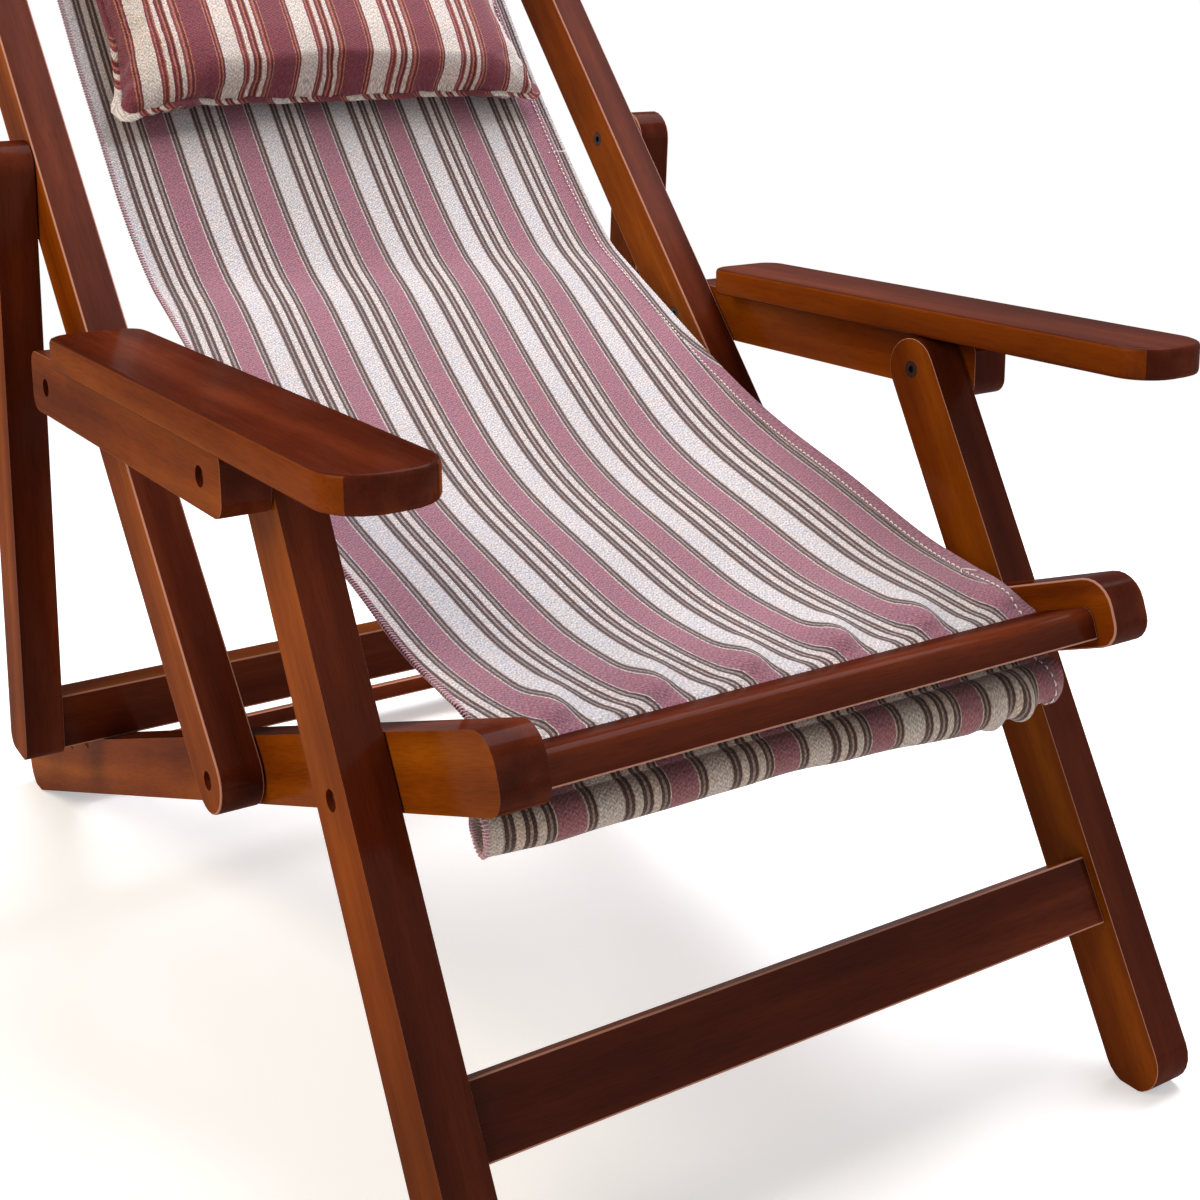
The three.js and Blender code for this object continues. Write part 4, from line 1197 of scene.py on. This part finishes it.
def seamLine(cushion):
    # the bag's outline seen square to the back, as points in the back's own frame
    places = [backLocal(v.co) for v in cushion.data.vertices]
    low = Vector([min(p[i] for p in places) for i in range(3)])
    high = Vector([max(p[i] for p in places) for i in range(3)])
    middle = (low + high) / 2
    count = cushionFacts["rimPoints"]
    rim = [None] * count
    for place in places:
        turn = math.atan2(place.y - middle.y, place.x - middle.x)
        k = int(count * (turn / (2 * math.pi) + 0.5)) % count
        reach = math.hypot(place.x - middle.x, place.y - middle.y)
        if rim[k] is None or reach > rim[k][0]:
            rim[k] = (reach, place)
    points = [spot[1] for spot in rim if spot]
    for _ in range(cushionFacts["rimRounds"]):
        last = len(points)
        points = [(points[i - 1] + points[i] * 2 + points[(i + 1) % last]) / 4 for i in range(last)]
    return evenly(points + [points[0]], cushionFacts["seamStep"])[:-1], middle


def puckerBag(cushion, line):
    # small gathers where the cloth is drawn into the seam
    facts = cushionFacts
    tree = KDTree(len(line))
    for i, point in enumerate(line):
        tree.insert((point.x, point.y, 0), i)
    tree.balance()
    for vertex in cushion.data.vertices:
        place = backLocal(vertex.co)
        _, i, away = tree.find((place.x, place.y, 0))
        if away < facts["puckerReach"]:
            along = i * facts["seamStep"]
            varied = 0.6 + 0.8 * noise.noise(Vector((along * 12, 0.4, 2.0)))
            stray = 2.5 * noise.noise(Vector((along * 9, 1.0, 7.0)))
            wave = math.sin(2 * math.pi * along / facts["puckerPitch"] + stray)
            share = (1 - away / facts["puckerReach"]) ** 1.5
            vertex.co += vertex.normal * facts["pucker"] * wave * varied * share
    layOnSling(cushion)


def makeSeam(line, middle):
    facts = cushionFacts
    points, places, faces = [], [], []
    count = len(line)
    sides = facts["seamSides"]
    corners = []
    for a in (-1, 1):
        for b in (-1, 1):
            corners.append(max(range(count), key=lambda i: a * line[i].x + b * (line[i].y - middle.y)))
    for i, spot in enumerate(line):
        along = (line[(i + 1) % count] - line[i - 1]).normalized()
        out = Vector((along.y, -along.x, 0)).normalized()
        if out.dot(spot - middle) < 0:
            out = -out
        wave = noise.noise(Vector((i * 0.11, 3.0, 0.0)))
        swing = noise.noise(Vector((i * 0.14, 8.0, 5.0)))
        near = min(min(abs(i - k), count - abs(i - k)) for k in corners)
        ear = facts["ear"] * math.exp(-(near / facts["earSteps"]) ** 2)
        reach = facts["seamOut"] + facts["seamWave"] * 0.5 * wave + ear * 0.5
        heart = spot + out * reach + Vector((0, 0, facts["seamWave"] * swing))
        for k in range(sides):
            turn = 2 * math.pi * k / sides
            width = (facts["seamWidth"] + ear) * math.cos(turn)
            thick = facts["seamThick"] * math.sin(turn)
            points.append(fromBack(heart + out * width + Vector((0, 0, thick))))
            across = spot.x + spot.y * facts["seamLean"] + facts["stripesFrom"]
            places.append((across + facts["seamTwist"] * math.sin(turn), spot.y + width, 0.0))
    for i in range(count):
        onward = (i + 1) % count
        for k in range(sides):
            after = (k + 1) % sides
            faces.append((i * sides + k, onward * sides + k, onward * sides + after, i * sides + after))
    seam = newPiece("head_cushion_seam", points, faces)
    markPlaces(seam, "place", places)
    faceOutwards(seam)
    layOnSling(seam)
    smooth(seam, 70)
    finishCushionPiece(seam)
    print("cushion seam made")


cushion = makeCushion()
seamRun, seamMiddle = seamLine(cushion)
puckerBag(cushion, seamRun)
makeSeam(seamRun, seamMiddle)


def makeStrap(side):
    strap = copyNode(side + "_cushion_strap", side + "_cushion_strap_webbing")
    applyModifier(strap, "BEVEL", width=0.0004, segments=2, limit_method="ANGLE",
                  angle_limit=math.radians(50))
    markOnBack(strap)
    smooth(strap, 50)
    finishCushionPiece(strap, side + "_cushion_strap")


for side in ("left", "right"):
    makeStrap(side)
print("straps made")


# Floor, world and lamps: plain, pale and soft

def addBackgroundRays(tree):
    # 1 for the rays that see the backdrop: straight, in a reflection or through something clear
    path = addNode(tree, "ShaderNodeLightPath")
    shown = addNode(tree, "ShaderNodeMath", {"operation": "MAXIMUM"},
                    {0: path.outputs["Is Camera Ray"], 1: path.outputs["Is Glossy Ray"]})
    return addNode(tree, "ShaderNodeMath", {"operation": "MAXIMUM"},
                   {0: shown.outputs[0], 1: path.outputs["Is Transmission Ray"]})


floorFacts = {
    "size": 30.0,
    "plain": 0.9,            # metres from the middle where the floor starts to fade to white
    "white": 2.6,
    "glow": 0.42,
    "colour": "#efeeec",
    "drop": 0.0005,          # just under the feet
}
worldFacts = {
    "colour": "#eef1f4",
    "strength": 0.34,
}


def paleFloor(name):
    # Matt painted floor, which fades to a white backdrop
    facts = floorFacts
    material, tree, shader = startMaterial(name)
    shader.inputs["Base Color"].default_value = toLinear(facts["colour"])
    shader.inputs["Roughness"].default_value = 0.9
    shader.inputs["Specular IOR Level"].default_value = 0.1
    rays = addBackgroundRays(tree)
    place = addNode(tree, "ShaderNodeTexCoord")
    away = addNode(tree, "ShaderNodeVectorMath", {"operation": "LENGTH"}, {0: place.outputs["Object"]})
    fade = addNode(tree, "ShaderNodeMapRange",
                   {1: facts["plain"], 2: facts["white"], "interpolation_type": "SMOOTHSTEP"},
                   {0: away.outputs["Value"]})
    glowOnly = addNode(tree, "ShaderNodeMath", {"operation": "MULTIPLY", 1: facts["glow"]},
                       {0: rays.outputs[0]})
    glow = addNode(tree, "ShaderNodeEmission", {"Color": (1, 1, 1, 1)}, {"Strength": glowOnly.outputs[0]})
    near = addNode(tree, "ShaderNodeAddShader", links={0: shader.outputs[0], 1: glow.outputs[0]})
    white = addNode(tree, "ShaderNodeEmission", {"Color": (1, 1, 1, 1), "Strength": 1.0})
    far = addNode(tree, "ShaderNodeMath", {"operation": "MULTIPLY"}, {0: fade.outputs[0], 1: rays.outputs[0]})
    mixed = addNode(tree, "ShaderNodeMixShader",
                    links={0: far.outputs[0], 1: near.outputs[0], 2: white.outputs[0]})
    output = next(node for node in tree.nodes if node.type == "OUTPUT_MATERIAL")
    tree.links.new(mixed.outputs[0], output.inputs["Surface"])
    return material


def makeFloor():
    deselectAll()
    bpy.ops.mesh.primitive_plane_add(size=floorFacts["size"], location=(0, 0, -floorFacts["drop"]))
    floor = bpy.context.object
    floor.name = "studio_floor"
    bpy.ops.object.transform_apply(location=True, rotation=False, scale=True)
    setMaterials(floor, paleFloor("pale_floor"))


def makeWorld():
    world = bpy.data.worlds.new("studio")
    bpy.context.scene.world = world
    world.use_nodes = True
    tree = world.node_tree
    tree.nodes.clear()
    rays = addBackgroundRays(tree)
    seen = addNode(tree, "ShaderNodeBackground", {"Color": (1, 1, 1, 1), "Strength": 1.0})
    light = addNode(tree, "ShaderNodeBackground",
                    {"Color": toLinear(worldFacts["colour"]), "Strength": worldFacts["strength"]})
    mixed = addNode(tree, "ShaderNodeMixShader",
                    links={0: rays.outputs[0], 1: light.outputs[0], 2: seen.outputs[0]})
    addNode(tree, "ShaderNodeOutputWorld", links={"Surface": mixed.outputs[0]})


lampFacts = [
    # name, place, aim, size, power, colour
    ("key", (-2.1, -0.2, 2.0), (0, 0, 0.35), 1.5, 44, "#fff1dc"),
    ("top", (1.1, 0.3, 2.6), (0, -0.1, 0.3), 2.0, 96, "#faf7ff"),
    ("fill", (1.4, -2.4, 1.2), (0, 0, 0.35), 1.8, 7, "#ffffff"),
]


def makeLamps():
    for name, place, aim, size, power, code in lampFacts:
        data = bpy.data.lights.new(name, "AREA")
        data.shape = "SQUARE"
        data.size = size
        data.energy = power
        data.color = toLinear(code)[:3]
        lamp = bpy.data.objects.new(name, data)
        bpy.context.scene.collection.objects.link(lamp)
        lamp.location = place
        lamp.rotation_euler = (Vector(aim) - Vector(place)).to_track_quat("-Z", "Y").to_euler()


makeFloor()
makeWorld()
makeLamps()
bpy.context.scene.view_settings.view_transform = "Standard"

print("scene ready")
